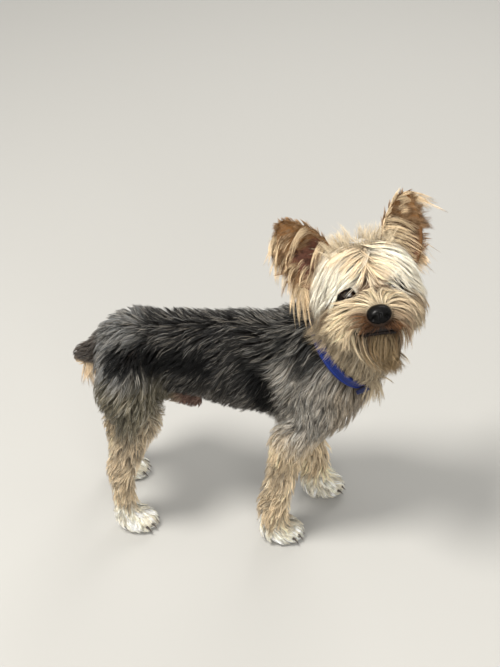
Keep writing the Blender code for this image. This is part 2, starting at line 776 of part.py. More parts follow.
def ear_leaf(side):
    # A leaf that is cupped across its width, with the same triangles on both faces.
    shape = bmesh.new()
    made = [[[shape.verts.new(point) for point in face] for face in row] for row in leaf_rows(side)]
    for low, high in zip(made, made[1:]):
        for i in range(len(low[0]) - 1):
            shape.faces.new((low[0][i], low[0][i + 1], high[0][i + 1]))
            shape.faces.new((low[0][i], high[0][i + 1], high[0][i]))
            shape.faces.new((low[1][i], high[1][i + 1], low[1][i + 1]))
            shape.faces.new((low[1][i], high[1][i], high[1][i + 1]))
    rim = [edge for edge in shape.edges if edge.is_boundary]
    bmesh.ops.bridge_loops(shape, edges=rim)
    bmesh.ops.triangulate(shape, faces=shape.faces)
    return object_from_shape("ear_" + side, shape)


def ear_locks(side):
    # A fringe along both edges, strands across the cup, and a wisp at the tip.
    axes = ear_axes(side)
    _, up, across, facing = axes
    draw = random.Random(21 if side == "right" else 22)
    starts = [(1.0, 0.22 + 0.17 * k, 0.022) for k in range(5)]
    starts += [(-1.0, 0.42 + 0.26 * k, 0.017) for k in range(2)]
    found = []
    for edge, share, length in starts:
        length *= draw.uniform(0.80, 1.25)
        hang = draw.uniform(0.25, 0.55)
        outward = across * edge
        root = on_ear(axes, 0.40 * edge, share + 0.04)
        bend = on_ear(axes, 0.95 * edge, share - 0.01, 0.0006)
        after = bend + outward * (0.45 * length) - up * (hang * length) + facing * (0.10 * length)
        tip = after + outward * (0.10 * length) - up * (0.50 * length)
        found.append(([root, bend, after, tip], draw.uniform(0.009, 0.012)))
    for number in range(2):
        share = 0.32 + 0.22 * number
        path = [on_ear(axes, -0.75, share), on_ear(axes, -0.35, share + 0.06, 0.0042),
                on_ear(axes, 0.25, share + 0.05, 0.0062),
                on_ear(axes, draw.uniform(0.75, 1.05), share - 0.05, 0.0050)]
        found.append((path, 0.0075))
    root = on_ear(axes, 0.1, 0.82)
    bend = on_ear(axes, 0.1, 0.97)
    after = bend + up * 0.006 + across * 0.003
    found.append(([root, bend, after, after + up * 0.002 + across * 0.010], 0.0095))
    return [lock_rings(path, [facing] * 3, width, EAR_LOCK_DROPS) for path, width in found]


def ear(side):
    return combined(ear_leaf(side), [lock(*each) for each in ear_locks(side)], "UNION")


def ear_clearing(side):
    # The ear's space in the head: a hull a little larger than each small stretch of it.
    stretches = []
    rows = leaf_rows(side)
    for low, high in zip(rows, rows[1:]):
        for i in range(len(low[0]) - 1):
            stretches.append([point for face in low + high for point in face[i:i + 2]])
    for corners, tip in ear_locks(side):
        stretches += [first + second for first, second in zip(corners, corners[1:] + [[tip]])]
    return [hull("ear_space", [point + ball * (1.3 * GAP) for point in stretch for ball in BALL_POINTS])
            for stretch in stretches]


def collar_path(flesh, reach, count=36):
    # A ring round the neck, pressed into the coat.
    centre = np.array(COLLAR_CENTRE)
    outward = COLLAR_AXIS
    side = outward.cross(Vector((0.0, 0.0, 1.0))).normalized()
    rise = side.cross(outward)
    angles = np.arange(count) * 2 * math.pi / count
    spokes = np.outer(np.cos(angles), side) + np.outer(np.sin(angles), rise)
    waves = np.fft.rfft(ring_radii(flesh, centre, spokes, reach, 0.030))
    waves[3:] = 0.0
    radii = np.fft.irfft(waves, count)
    return centre + spokes * radii[:, None], spokes, np.array(outward)


def collar(flesh, grow=0.0, lift=0.0):
    ring, spokes, outward = collar_path(flesh, COLLAR_REACH)
    half = 0.5 * COLLAR_WIDTH + grow
    inner = -grow
    outer = COLLAR_THICKNESS + grow + lift
    shape = bmesh.new()
    loops = []
    for depth, height in ((inner, -half), (outer, -half), (outer, half), (inner, half)):
        points = ring + spokes * depth + outward * height
        loops.append([shape.verts.new(point) for point in points])
    for first, second in zip(loops, loops[1:] + loops[:1]):
        for i in range(len(first)):
            j = (i + 1) % len(first)
            shape.faces.new((first[i], first[j], second[j], second[i]))
    return object_from_shape("collar", shape)


def buckle(flesh, grow=0.0):
    # A plain clasp on the band, at the far side of the throat.
    ring, spokes, outward = collar_path(flesh, COLLAR_REACH)
    place = BUCKLE_PLACE
    spoke = Vector(spokes[place])
    along = Vector(ring[place + 1] - ring[place - 1]).normalized()
    spoke = (spoke - along * spoke.dot(along)).normalized()
    centre = Vector(ring[place]) + spoke * (COLLAR_THICKNESS + GAP + 0.0006 + 0.0018)
    half = Vector((0.0080, 0.0065, 0.0018)) + Vector((grow, grow, grow))
    points = []
    for x in (-1, 1):
        for y in (-1, 1):
            for z in (-1, 1):
                for kept in Matrix.Identity(3):
                    inset = Vector((1.0, 1.0, 1.0)) * 0.0009
                    inset = Vector(0.0 if k else i for k, i in zip(kept, inset))
                    size = half - inset
                    points.append(centre + along * (x * size.x) + Vector(outward) * (y * size.y)
                                  + spoke * (z * size.z))
    return hull("collar_buckle", points)


def foot_direction(side, fore):
    turn = -0.20 if side == "right" else 0.10
    return Vector((math.cos(turn), math.sin(turn), 0.0))


def claws(side, legs, kind, grow=0.0):
    foot = mirrored(legs[side][2], side)
    ahead = foot_direction(side, kind)
    across = Vector((-ahead.y, ahead.x, 0.0))
    made = []
    for number, offset in enumerate((-0.0085, -0.0030, 0.0030, 0.0085), start=1):
        reach = 0.0135 - 40.0 * offset * offset
        root = foot + ahead * reach + across * offset + Vector((0.0, 0.0, -0.0005))
        tip = root + ahead * 0.0065 + across * (0.15 * offset) + Vector((0.0, 0.0, -0.0045))
        radius = 0.0016 + grow
        points = []
        for k in range(6):
            angle = k * math.pi / 3
            ring = across * math.cos(angle) + Vector((0.0, 0.0, 1.0)) * math.sin(angle)
            points.append(root + ring * radius)
            points.append(root.lerp(tip, 0.55) + Vector((0.0, 0.0, 0.0012)) + ring * radius * 0.72)
            points.append(tip + ring * (0.0004 + grow))
            if grow:
                points.append(tip + ahead * CLAW_CLEARING + ring * 0.0012)
        made.append(hull("claw_%s_%s_%d" % (kind, side, number), points))
    return made


def centre_on_floor(items):
    # Brings the middle of the whole dog's box over the origin, with the soles still at z = 0.
    corners = np.array([vert.co for item in items for vert in item.data.vertices])
    middle = (corners.min(axis=0) + corners.max(axis=0)) / 2
    for item in items:
        item.data.transform(Matrix.Translation((-middle[0], -middle[1], 0.0)))


# The whole dog

def build():
    clear_scene()
    flesh = dog_flesh()
    planes = part_planes()
    whole = surface("whole", flesh, flesh.forms, CORE_REACH, 0.004, 6000)
    roots = scattered(whole.data, flesh, LOCK_SPACING, seed=5)
    bpy.data.objects.remove(whole, do_unlink=True)
    locks = list(zip(*combed_paths(flesh, roots, seed=9)))

    forms = {
        "head": head_forms() + neck_forms(),
        "neck": neck_forms() + trunk_forms() + head_forms(),
        "torso": trunk_forms() + neck_forms() + tail_forms()
        + [form for side in SIDES for form in foreleg_forms(side)[:2] + hind_leg_forms(side)[:3]],
        "tail": tail_forms() + trunk_forms(),
    }
    for side in SIDES:
        forms["foreleg_" + side] = foreleg_forms(side) + trunk_forms()
        forms["hind_leg_" + side] = hind_leg_forms(side) + trunk_forms()
    fineness = {"head": (0.0020, 900), "neck": (0.004, 560), "torso": (0.004, 760), "tail": (0.003, 760)}
    made = {}
    for name, its_forms in forms.items():
        voxel, faces = fineness.get(name, (0.003, 900))
        made[name] = surface(name, flesh, its_forms, CORE_REACH, voxel, faces)

    half = GAP / 2
    floor = (Vector((0.0, 0.0, 0.0)), Vector((0.0, 0.0, -1.0)))
    torso_planes = [(Vector((-0.14, 0.0, 0.0)), Vector((-1.0, 0.0, 0.0)))]
    for name, item in made.items():
        bounds = planes.get(name, torso_planes)
        its_locks = [lock(*lock_rings(*each)) for each in locks if reaches_into(each[0], bounds, 0.001)]
        combined(item, its_locks, "UNION")
    for name, bounds in planes.items():
        inside = moved(bounds, -half)
        if "leg" in name:
            inside.append(floor)
        combined(made[name], [block(name + "_cell", inside)], "INTERSECT")
    cutters = [block(name + "_cut", moved(bounds, half)) for name, bounds in planes.items() if name != "head"]
    combined(made["torso"], cutters, "DIFFERENCE")

    for name in ("neck", "head", "torso"):
        combined(made[name], [collar(flesh, GAP, COLLAR_CLEARING), buckle(flesh, GAP)], "DIFFERENCE")
    combined(made["head"], [eye_clearing(side) for side in SIDES] + [mouth_clearing()], "DIFFERENCE")
    combined(made["head"], [lids(side) for side in SIDES] + [lips(flesh)], "UNION")
    combined(made["head"], [lid_opening(side) for side in SIDES] + [mouth_slot(flesh)], "DIFFERENCE")
    cuts = [eye(side, GAP) for side in SIDES] + [nose(GAP)]
    for side in SIDES:
        cuts += ear_clearing(side)
    combined(made["head"], cuts, "DIFFERENCE")
    for side in SIDES:
        combined(made["foreleg_" + side], claws(side, FORELEGS, "fore", GAP), "DIFFERENCE")
        combined(made["hind_leg_" + side], claws(side, HIND_LEGS, "hind", GAP), "DIFFERENCE")

    colours = {"head": PALE_GOLD, "neck": SILVER_GREY, "torso": STEEL_GREY, "tail": STEEL_GREY}
    for name, item in made.items():
        painted(keep_largest(item), colours.get(name, CREAM), 0.75)
    for side in SIDES:
        painted(keep_largest(eye(side)), BLACK, 0.08)
        painted(keep_largest(ear(side)), TAN, 0.75)
        for claw in claws(side, FORELEGS, "fore") + claws(side, HIND_LEGS, "hind"):
            painted(keep_largest(claw), HORN, 0.4)
    painted(keep_largest(nose()), BLACK, 0.3)
    painted(keep_largest(collar(flesh)), BLUE, 0.6)
    painted(keep_largest(buckle(flesh)), BLACK, 0.4)
    centre_on_floor([item for item in bpy.data.objects if item.type == "MESH"])


build()
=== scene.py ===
# The looks of a yorkshire terrier: one skin, its coat, eyes, nose, claws and collar.
# Metres, +Z up, the dog faces +X. Places are given before the solids were centred; dogShift brings them over.
import math
import random

import bmesh
import bpy
import numpy as np
from mathutils import Matrix, Vector
from mathutils.kdtree import KDTree


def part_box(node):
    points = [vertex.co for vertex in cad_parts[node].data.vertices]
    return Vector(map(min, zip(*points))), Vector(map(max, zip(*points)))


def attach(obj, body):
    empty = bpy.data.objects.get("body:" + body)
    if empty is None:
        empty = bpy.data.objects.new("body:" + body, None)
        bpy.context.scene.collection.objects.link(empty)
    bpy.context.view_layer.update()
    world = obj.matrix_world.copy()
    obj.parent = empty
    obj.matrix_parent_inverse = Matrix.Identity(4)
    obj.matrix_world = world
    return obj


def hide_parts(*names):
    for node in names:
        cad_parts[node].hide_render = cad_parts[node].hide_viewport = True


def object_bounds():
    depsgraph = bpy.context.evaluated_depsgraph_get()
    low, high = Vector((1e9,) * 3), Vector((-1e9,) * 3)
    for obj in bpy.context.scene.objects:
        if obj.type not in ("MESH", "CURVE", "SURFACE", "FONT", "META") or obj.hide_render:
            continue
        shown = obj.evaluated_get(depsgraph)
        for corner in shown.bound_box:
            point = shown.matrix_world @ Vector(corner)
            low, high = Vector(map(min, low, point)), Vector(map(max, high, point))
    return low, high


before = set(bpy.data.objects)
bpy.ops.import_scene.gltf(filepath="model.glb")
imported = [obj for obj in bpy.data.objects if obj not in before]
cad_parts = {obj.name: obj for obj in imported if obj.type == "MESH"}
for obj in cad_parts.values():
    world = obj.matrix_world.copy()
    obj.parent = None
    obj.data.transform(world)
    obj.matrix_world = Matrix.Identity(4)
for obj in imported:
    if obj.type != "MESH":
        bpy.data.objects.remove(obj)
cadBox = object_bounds()
sides = {"right": -1.0, "left": 1.0}


# How the head is carried, and points and directions on it

headPose = {"centre": (0.1032, -0.0258, 0.2754), "turn": -80.2, "raise": 22.5, "tilt": 9.3}
eyeLook = {"radius": 0.0078, "place": (0.0285, 0.0165, 0.0050), "lid": 0.0015, "iris": 0.62, "pupil": 0.30,
           "opening": (0.96, 0.26, 0.03), "clear": {"right": (0.0076, 0.0032, 0.92), "left": (0.0066, 0.0036, 0.85)}}


def turnedHead():
    turn, rise, tilt = (math.radians(headPose[key]) for key in ("turn", "raise", "tilt"))
    forward = Vector((math.cos(turn) * math.cos(rise), math.sin(turn) * math.cos(rise), math.sin(rise)))
    levelLeft = Vector((-math.sin(turn), math.cos(turn), 0.0))
    left = levelLeft * math.cos(tilt) + forward.cross(levelLeft) * math.sin(tilt)
    return np.array((forward, left, forward.cross(left))).T


headTurn = turnedHead()


def onHead(forward, left, up):
    return np.array(headPose["centre"]) + headTurn @ np.array((forward, left, up))


def alongHead(forward, left, up):
    return headTurn @ np.array((forward, left, up))


def inHead(points):
    return (points - np.array(headPose["centre"])) @ headTurn


def eyeCentre(side):
    forward, left, up = eyeLook["place"]
    return onHead(forward, left * sides[side], up)


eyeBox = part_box("eye_right")
dogShift = (np.array(eyeBox[0]) + np.array(eyeBox[1])) / 2 - eyeCentre("right")


def unit(vectors):
    return vectors / (np.linalg.norm(vectors, axis=-1, keepdims=True) + 1e-12)


def smooth(values, low, high):
    share = np.clip((values - low) / (high - low), 0.0, 1.0)
    return share * share * (3.0 - 2.0 * share)


# The coat of each region: depth over the skin, hair length, hair width, wave, hairs per square centimetre

coats = {
    "back": (0.0110, 0.018, 0.00053, 0.0011, 78),
    "flank": (0.0130, 0.020, 0.00055, 0.0016, 78),
    "chest": (0.0150, 0.022, 0.00055, 0.0022, 78),
    "thigh": (0.0110, 0.018, 0.00057, 0.0014, 44),
    "leg": (0.0080, 0.016, 0.00057, 0.0018, 39),
    "shank": (0.0055, 0.012, 0.00050, 0.0009, 54),
    "paw": (0.0038, 0.010, 0.00046, 0.0006, 66),
    "tail": (0.0050, 0.012, 0.00048, 0.0003, 130),
    "bare": (0.0036, 0.009, 0.00042, 0.0003, 90),
    "crown": (0.0120, 0.038, 0.00044, 0.0017, 100),
    "brow": (0.0110, 0.026, 0.00042, 0.0013, 118),
    "bridge": (0.0050, 0.011, 0.00034, 0.0005, 190),
    "cheek": (0.0140, 0.028, 0.00046, 0.0019, 90),
    "moustache": (0.0110, 0.026, 0.00042, 0.0015, 126),
    "beard": (0.0165, 0.028, 0.00042, 0.0015, 130),
}
skinReach = 0.22   # share of the coat's depth at which the skin lies and the hairs start

places = {
    "withers": 0.211, "brisket": 0.134, "halfStance": 0.031,
    "neckRoot": (0.066, 0.0, 0.190), "neckMiddle": (0.095, -0.010, 0.214), "neckTop": (0.102, -0.017, 0.250),
    "tailRoot": (-0.104, 0.0, 0.187), "tailTip": (-0.131, 0.0, 0.172),
    "shoulder": (0.076, 0.023, 0.156), "bladeTop": (0.052, 0.013, 0.196), "hip": (-0.088, 0.018, 0.176),
    "foreRight": ((0.049, 0.033, 0.118), (0.036, 0.033, 0.045), (0.045, 0.031, 0.009)),
    "foreLeft": ((0.052, 0.033, 0.116), (0.067, 0.033, 0.045), (0.079, 0.031, 0.009)),
    "hindRight": ((-0.079, 0.035, 0.135), (-0.100, 0.032, 0.070), (-0.088, 0.031, 0.009)),
    "hindLeft": ((-0.084, 0.035, 0.133), (-0.117, 0.034, 0.070), (-0.107, 0.036, 0.009)),
    "nose": (0.0550, 0.0, -0.0082), "mouth": (0.0280, 0.0, -0.0215), "mouthDrop": 0.0084,
    "mouthSlant": 0.10,
}
lies = {"backward": (-0.74, 0.0, -0.66), "down": (-0.30, 0.0, -0.95), "neck": (-0.50, 0.12, -0.85),
        "toes": (0.80, 0.0, -0.50)}


def onSide(point, side):
    return np.array((point[0], point[1] * sides[side], point[2]))


def rod(start, end, startRadius, endRadius, coat, lie, group, burst=None):
    return {"start": np.array(start), "end": np.array(end), "radii": (startRadius, endRadius),
            "hair": np.array((*coats[coat], *lie)), "group": group, "burst": burst}


def egg(centre, radii, turn, coat, lie, group):
    return {"centre": np.array(centre), "size": np.array(radii), "turn": turn,
            "hair": np.array((*coats[coat], *lie)), "group": group, "burst": None}


def bodyForms():
    level = np.eye(3)
    back = lies["backward"]
    middle = (places["withers"] + places["brisket"]) / 2
    deep = (places["withers"] - places["brisket"]) / 2
    forms = [
        egg((0.060, 0.0, middle), (0.046, 0.029, deep), level, "chest", back, "body"),
        egg((0.012, 0.0, middle + 0.005), (0.056, 0.029, deep - 0.005), level, "flank", back, "body"),
        egg((-0.040, 0.0, middle + 0.009), (0.050, 0.025, deep - 0.010), level, "back", back, "body"),
        egg((-0.082, 0.0, middle + 0.008), (0.034, 0.025, deep - 0.012), level, "back", back, "body"),
        rod((-0.062, -0.008, 0.146), (-0.036, -0.008, 0.1375), 0.0066, 0.0052, "bare", back, "body"),
        rod(places["neckRoot"], places["neckMiddle"], 0.031, 0.026, "chest", lies["neck"], "neck"),
        rod(places["neckMiddle"], places["neckTop"], 0.026, 0.022, "chest", lies["neck"], "neck"),
    ]
    tailLie = unit(np.array(places["tailTip"]) - np.array(places["tailRoot"]))
    forms.append(rod(places["tailRoot"], places["tailTip"], 0.0075, 0.0055, "tail", tailLie, "tail"))
    for side in sides:
        shoulder = onSide(places["shoulder"], side)
        forms.append(rod(onSide(places["bladeTop"], side), shoulder, 0.013, 0.015, "chest", lies["down"], "body"))
        elbow, wrist, foot = (onSide(point, side) for point in places["fore" + side.capitalize()])
        forms += [
            rod(shoulder, elbow, 0.0140, 0.0090, "thigh", lies["down"], "leg"),
            rod(elbow, wrist, 0.0092, 0.0065, "leg", lies["down"], "leg"),
            rod(wrist, foot + (-0.009, 0.0, 0.003), 0.0066, 0.0075, "leg", lies["down"], "leg"),
            egg(foot, (0.0150, 0.0108, 0.0090), level, "paw", lies["toes"], "leg"),
        ]
        hip = onSide(places["hip"], side)
        stifle, hock, foot = (onSide(point, side) for point in places["hind" + side.capitalize()])
        thigh = np.array((hip[0], 0.4 * hip[1] + 0.6 * stifle[1], 0.5 * (hip[2] + stifle[2])))
        forms += [
            rod(hip, thigh, 0.0200, 0.0180, "thigh", lies["down"], "leg"),
            rod(thigh, stifle, 0.0180, 0.0115, "thigh", lies["down"], "leg"),
            rod(stifle, hock, 0.0115, 0.0062, "leg", lies["down"], "leg"),
            rod(hock, foot + (-0.010, 0.0, 0.005), 0.0058, 0.0065, "shank", lies["down"], "leg"),
            egg(foot, (0.0150, 0.0108, 0.0090), level, "paw", lies["toes"], "leg"),
        ]
    return forms


def headForms():
    # The hair parts along the middle of the head and falls to both sides; over the muzzle it bursts from the nose.
    nose = onHead(0.050, 0.0, -0.012)
    forms = [
        egg(onHead(-0.012, 0.0, -0.002), (0.024, 0.027, 0.026), headTurn, "crown", alongHead(-0.6, 0.0, -0.8), "head"),
        rod(onHead(0.026, 0.0, -0.010), onHead(0.047, 0.0, -0.0115), 0.0145, 0.0100, "bridge", (0.0, 0.0, 0.0),
            "head", nose),
        rod(onHead(0.010, 0.0, -0.026), onHead(0.038, 0.0, -0.026), 0.0115, 0.0080, "beard",
            alongHead(0.15, 0.10, -1.0), "head"),
    ]
    for sign in sides.values():
        forms += [
            egg(onHead(-0.001, 0.004 * sign, 0.003), (0.032, 0.025, 0.026), headTurn, "crown",
                alongHead(0.25, 0.80 * sign, -0.35), "head"),
            egg(onHead(0.021, 0.007 * sign, 0.010), (0.014, 0.012, 0.013), headTurn, "brow",
                alongHead(0.45, 0.55 * sign, -0.60), "head"),
            egg(onHead(0.006, 0.019 * sign, -0.012), (0.020, 0.012, 0.016), headTurn, "cheek",
                alongHead(-0.25, 0.60 * sign, -0.75), "head"),
            rod(onHead(0.032, 0.008 * sign, -0.014), onHead(0.042, 0.006 * sign, -0.015), 0.0100, 0.0080,
                "moustache", alongHead(-0.10, 0.66 * sign, -0.76), "head"),
        ]
    return forms


class Flesh:
    # Rods and eggs that blend into one another, and the coat that they share where they meet.
    def __init__(self, forms, softness):
        self.forms = forms
        self.softness = softness

    def measure(self, points):
        apart = np.empty((len(self.forms), len(points)))
        slopes = np.empty((len(self.forms), len(points), 3))
        for number, form in enumerate(self.forms):
            if "start" in form:
                along = form["end"] - form["start"]
                share = np.clip((points - form["start"]) @ along / (along @ along), 0.0, 1.0)
                off = points - form["start"] - share[:, None] * along
                length = np.linalg.norm(off, axis=1) + 1e-9
                apart[number] = length - form["radii"][0] - share * (form["radii"][1] - form["radii"][0])
                slopes[number] = off / length[:, None]
            else:
                local = (points - form["centre"]) @ form["turn"]
                near = np.linalg.norm(local / form["size"], axis=1) + 1e-9
                steep = local / form["size"] ** 2
                far = np.linalg.norm(steep, axis=1) + 1e-9
                apart[number] = near * (near - 1.0) / far
                slopes[number] = (steep / far[:, None]) @ form["turn"].T
        least = apart.min(axis=0)
        weights = np.exp(-(apart - least) / self.softness)
        total = weights.sum(axis=0)
        shares = weights / total
        hair = shares.T @ np.stack([form["hair"] for form in self.forms])
        for number, form in enumerate(self.forms):
            if form["burst"] is not None:
                hair[:, 5:] += shares[number][:, None] * unit(points - form["burst"])
        slope = np.einsum("fn,fnk->nk", shares, slopes)
        return least - self.softness * np.log(total), slope, hair, apart.argmin(axis=0)

    def settle(self, points, reach, rounds=4):
        # Moves points along the slope until they lie at a share of the coat's depth.
        for _ in range(rounds):
            distance, slope, hair, _ = self.measure(points)
            steep = np.maximum((slope ** 2).sum(axis=1), 0.16)
            off = np.clip((distance - reach * hair[:, 0]) / steep, -0.01, 0.01)
            points = points - off[:, None] * slope
        return points


flesh = Flesh(bodyForms() + headForms(), softness=0.003)


# Meshes

def newObject(name, mesh):
    piece = bpy.data.objects.new(name, mesh)
    bpy.context.scene.collection.objects.link(piece)
    return piece


def fromShape(name, shape):
    mesh = bpy.data.meshes.new(name)
    shape.to_mesh(mesh)
    shape.free()
    return newObject(name, mesh)


def fromArrays(name, points, triangles):
    mesh = bpy.data.meshes.new(name)
    mesh.vertices.add(len(points))
    mesh.vertices.foreach_set("co", np.ascontiguousarray(points, np.float32).ravel())
    mesh.loops.add(3 * len(triangles))
    mesh.loops.foreach_set("vertex_index", np.ascontiguousarray(triangles, np.int32).ravel())
    mesh.polygons.add(len(triangles))
    mesh.polygons.foreach_set("loop_start", np.arange(0, 3 * len(triangles), 3, dtype=np.int32))
    mesh.update(calc_edges=True)
    mesh.shade_smooth()
    return newObject(name, mesh)


def baked(piece):
    # The piece with its modifiers made part of its mesh.
    graph = bpy.context.evaluated_depsgraph_get()
    mesh = bpy.data.meshes.new_from_object(piece.evaluated_get(graph))
    piece.modifiers.clear()
    piece.data = mesh
    return piece


def corners(mesh):
    points = np.empty(3 * len(mesh.vertices), np.float32)
    mesh.vertices.foreach_get("co", points)
    return points.reshape(-1, 3).astype(float)


def setCorners(mesh, points):
    mesh.vertices.foreach_set("co", np.ascontiguousarray(points, np.float32).ravel())
    mesh.update()


def giveColour(mesh, name, colours):
    layer = mesh.attributes.new(name, "FLOAT_COLOR", "POINT")
    full = np.ones((len(colours), 4), np.float32)
    full[:, :3] = colours
    layer.data.foreach_set("color", full.ravel())


def giveValue(mesh, name, values):
    layer = mesh.attributes.new(name, "FLOAT", "POINT")
    layer.data.foreach_set("value", np.ascontiguousarray(values, np.float32))


def joined(piece, others, operation):
    # One Boolean with several closed pieces, which are used up.
    group = bpy.data.collections.new("pieces")
    bpy.context.scene.collection.children.link(group)
    for other in others:
        group.objects.link(other)
    join = piece.modifiers.new("join", "BOOLEAN")
    join.operand_type = "COLLECTION"
    join.collection = group
    join.operation = operation
    join.solver = "MANIFOLD"
    baked(piece)
    for other in others:
        bpy.data.objects.remove(other, do_unlink=True)
    bpy.data.collections.remove(group)
    return piece


def ball(name, centre, radii, turn=np.eye(3), segments=24, rings=16):
    shape = bmesh.new()
    bmesh.ops.create_uvsphere(shape, u_segments=segments, v_segments=rings, radius=1.0)
    place = Matrix.Translation(centre) @ Matrix(turn.tolist()).to_4x4() @ Matrix.Diagonal((*radii, 1.0))
    bmesh.ops.transform(shape, matrix=place, verts=shape.verts)
    return fromShape(name, shape)


# Ears: a leaf from the root to the tip, cupped across its width

earLook = {"length": 0.055, "width": {"right": 0.039, "left": 0.035}, "cup": 0.010, "thick": 0.0020, "rows": 26, "columns": 18}


def earAxes(side):
    sign = sides[side]
    lean = 0.46 if side == "right" else 0.24
    up = unit(alongHead(-0.28, sign * lean, 0.86))
    facing = alongHead(1.0, sign * 0.30, 0.10)
    facing = unit(facing - up * (facing @ up))
    return onHead(-0.002, 0.0300 * sign, 0.0130), up, np.cross(facing, up) * -sign, facing


def earSection(side, share):
    # Half the width of the leaf and the depth of its cup.
    inside = np.clip(share, 0.0, 1.0)
    half = 0.5 * earLook["width"][side] * (0.10 + 0.90 * np.sin(np.pi * (0.24 + 0.76 * inside)).clip(0.0) ** 0.75)
    return half, earLook["cup"] * (1.0 - 0.6 * share)


def onEar(side, turn, share, lift=0.0):
    # turn runs from -1 at the inner edge to 1 at the outer one, share from root to tip.
    root, up, across, facing = earAxes(side)
    turn, share, lift = np.broadcast_arrays(turn, share, lift)
    half, cup = earSection(side, share)
    hollow = cup * (1.0 - turn * turn)
    return (root + up * (earLook["length"] * share)[..., None] + across * (half * turn)[..., None]
            + facing * (lift - hollow)[..., None])


def earLeaf(side):
    rows, columns = earLook["rows"], earLook["columns"]
    share, turn = np.meshgrid(np.linspace(0.0, 1.0, rows + 1), np.linspace(-1.0, 1.0, columns + 1), indexing="ij")
    thick = 0.5 * earLook["thick"] * (1.0 - 0.6 * turn * turn)
    shape = bmesh.new()
    faces = [[[shape.verts.new(point) for point in row] for row in onEar(side, turn, share, lift)]
             for lift in (thick, -thick)]
    for face in faces:
        for low, high in zip(face, face[1:]):
            for i in range(columns):
                shape.faces.new((low[i], low[i + 1], high[i + 1], high[i]))
    bmesh.ops.bridge_loops(shape, edges=[edge for edge in shape.edges if edge.is_boundary])
    bmesh.ops.triangulate(shape, faces=shape.faces)
    bmesh.ops.recalc_face_normals(shape, faces=shape.faces)
    return fromShape("leaf", shape)


# The skin: one closed surface under the coat

skinLook = {"voxel": 0.00138, "lipHeight": 0.0010, "lipWidth": 0.0024, "slot": 0.0012, "slotDepth": 0.0050}


def formHull(form, grow):
    shape = bmesh.new()
    bmesh.ops.create_icosphere(shape, subdivisions=2, radius=1.0)
    sphere = np.array([vert.co for vert in shape.verts])
    shape.clear()
    if "start" in form:
        points = np.vstack([centre + sphere * (radius + grow)
                            for centre, radius in zip((form["start"], form["end"]), form["radii"])])
    else:
        points = form["centre"] + (sphere * (form["size"] + grow)) @ form["turn"].T
    for point in points:
        shape.verts.new(point)
    found = bmesh.ops.convex_hull(shape, input=shape.verts)
    spare = {part for part in found["geom_unused"] + found["geom_interior"] if isinstance(part, bmesh.types.BMVert)}
    bmesh.ops.delete(shape, geom=list(spare), context="VERTS")
    return shape


def mouthArc(count=61, reach=skinReach):
    # Points along the mouth, from corner to corner round the muzzle, lower at the corners.
    angles = np.linspace(-1.25, 1.25, count)
    spokes = np.outer(np.cos(angles), headTurn[:, 0]) + np.outer(np.sin(angles), headTurn[:, 1])
    low = places["mouthDrop"] * np.sin(angles) ** 2 + places["mouthSlant"] * 0.024 * np.sin(angles)
    centre = onHead(*places["mouth"]) - np.outer(low, headTurn[:, 2])
    radii = np.full(count, 0.026)
    for _ in range(14):
        distance, _, hair, _ = flesh.measure(centre + spokes * radii[:, None])
        radii -= 0.8 * (distance - reach * hair[:, 0])
    return centre, spokes, radii


def mouthSlot():
    centre, spokes, radii = mouthArc()
    half = 0.5 * skinLook["slot"]
    shape = bmesh.new()
    loops = []
    for offset, height in ((-skinLook["slotDepth"], -half), (0.010, -half), (0.010, half), (-skinLook["slotDepth"], half)):
        points = centre + spokes * (radii + offset)[:, None] + headTurn[:, 2] * height
        loops.append([shape.verts.new(point) for point in points])
    for first, second in zip(loops, loops[1:] + loops[:1]):
        for i in range(len(first) - 1):
            shape.faces.new((first[i], first[i + 1], second[i + 1], second[i]))
    for end in (0, -1):
        shape.faces.new([loop[end] for loop in loops])
    bmesh.ops.triangulate(shape, faces=shape.faces)
    bmesh.ops.recalc_face_normals(shape, faces=shape.faces)
    return fromShape("slot", shape)


def mouthHeight(left):
    # Height of the mouth's line on the head: lower at the corners, and at the left one most.
    return places["mouth"][2] - places["mouthDrop"] * (left / 0.024) ** 2 - places["mouthSlant"] * left


def nearestTo(points, line):
    # Distance to the nearest of a line's points.
    apart = np.full(len(points), 1.0)
    for place in line:
        apart = np.minimum(apart, np.linalg.norm(points - place, axis=1))
    return apart


def buildSkin():
    shape = bmesh.new()
    for form in flesh.forms:
        part = formHull(form, skinReach * form["hair"][0] + 0.001)
        mesh = bpy.data.meshes.new("form")
        part.to_mesh(mesh)
        part.free()
        shape.from_mesh(mesh)
        bpy.data.meshes.remove(mesh)
    bmesh.ops.recalc_face_normals(shape, faces=shape.faces)
    skin = fromShape("skin", shape)
    blend = skin.modifiers.new("blend", "REMESH")
    blend.mode = "VOXEL"
    blend.voxel_size = skinLook["voxel"]
    baked(skin)
    points = flesh.settle(corners(skin.data), skinReach)
    centre, spokes, radii = mouthArc(31)
    line = centre + spokes * radii[:, None]
    close = np.linalg.norm(points - onHead(*places["mouth"]), axis=1) < 0.04
    apart = nearestTo(points[close], line)
    swell = skinLook["lipHeight"] * np.exp(-((apart - 0.0012) / skinLook["lipWidth"]) ** 2)
    points[close] += swell[:, None] * unit(points[close] - onHead(0.02, 0.0, -0.018))
    points[:, 2] = np.maximum(points[:, 2], 0.0010)
    setCorners(skin.data, points)
    thin = skin.modifiers.new("triangles", "TRIANGULATE")
    thin.min_vertices = 4
    return baked(skin)


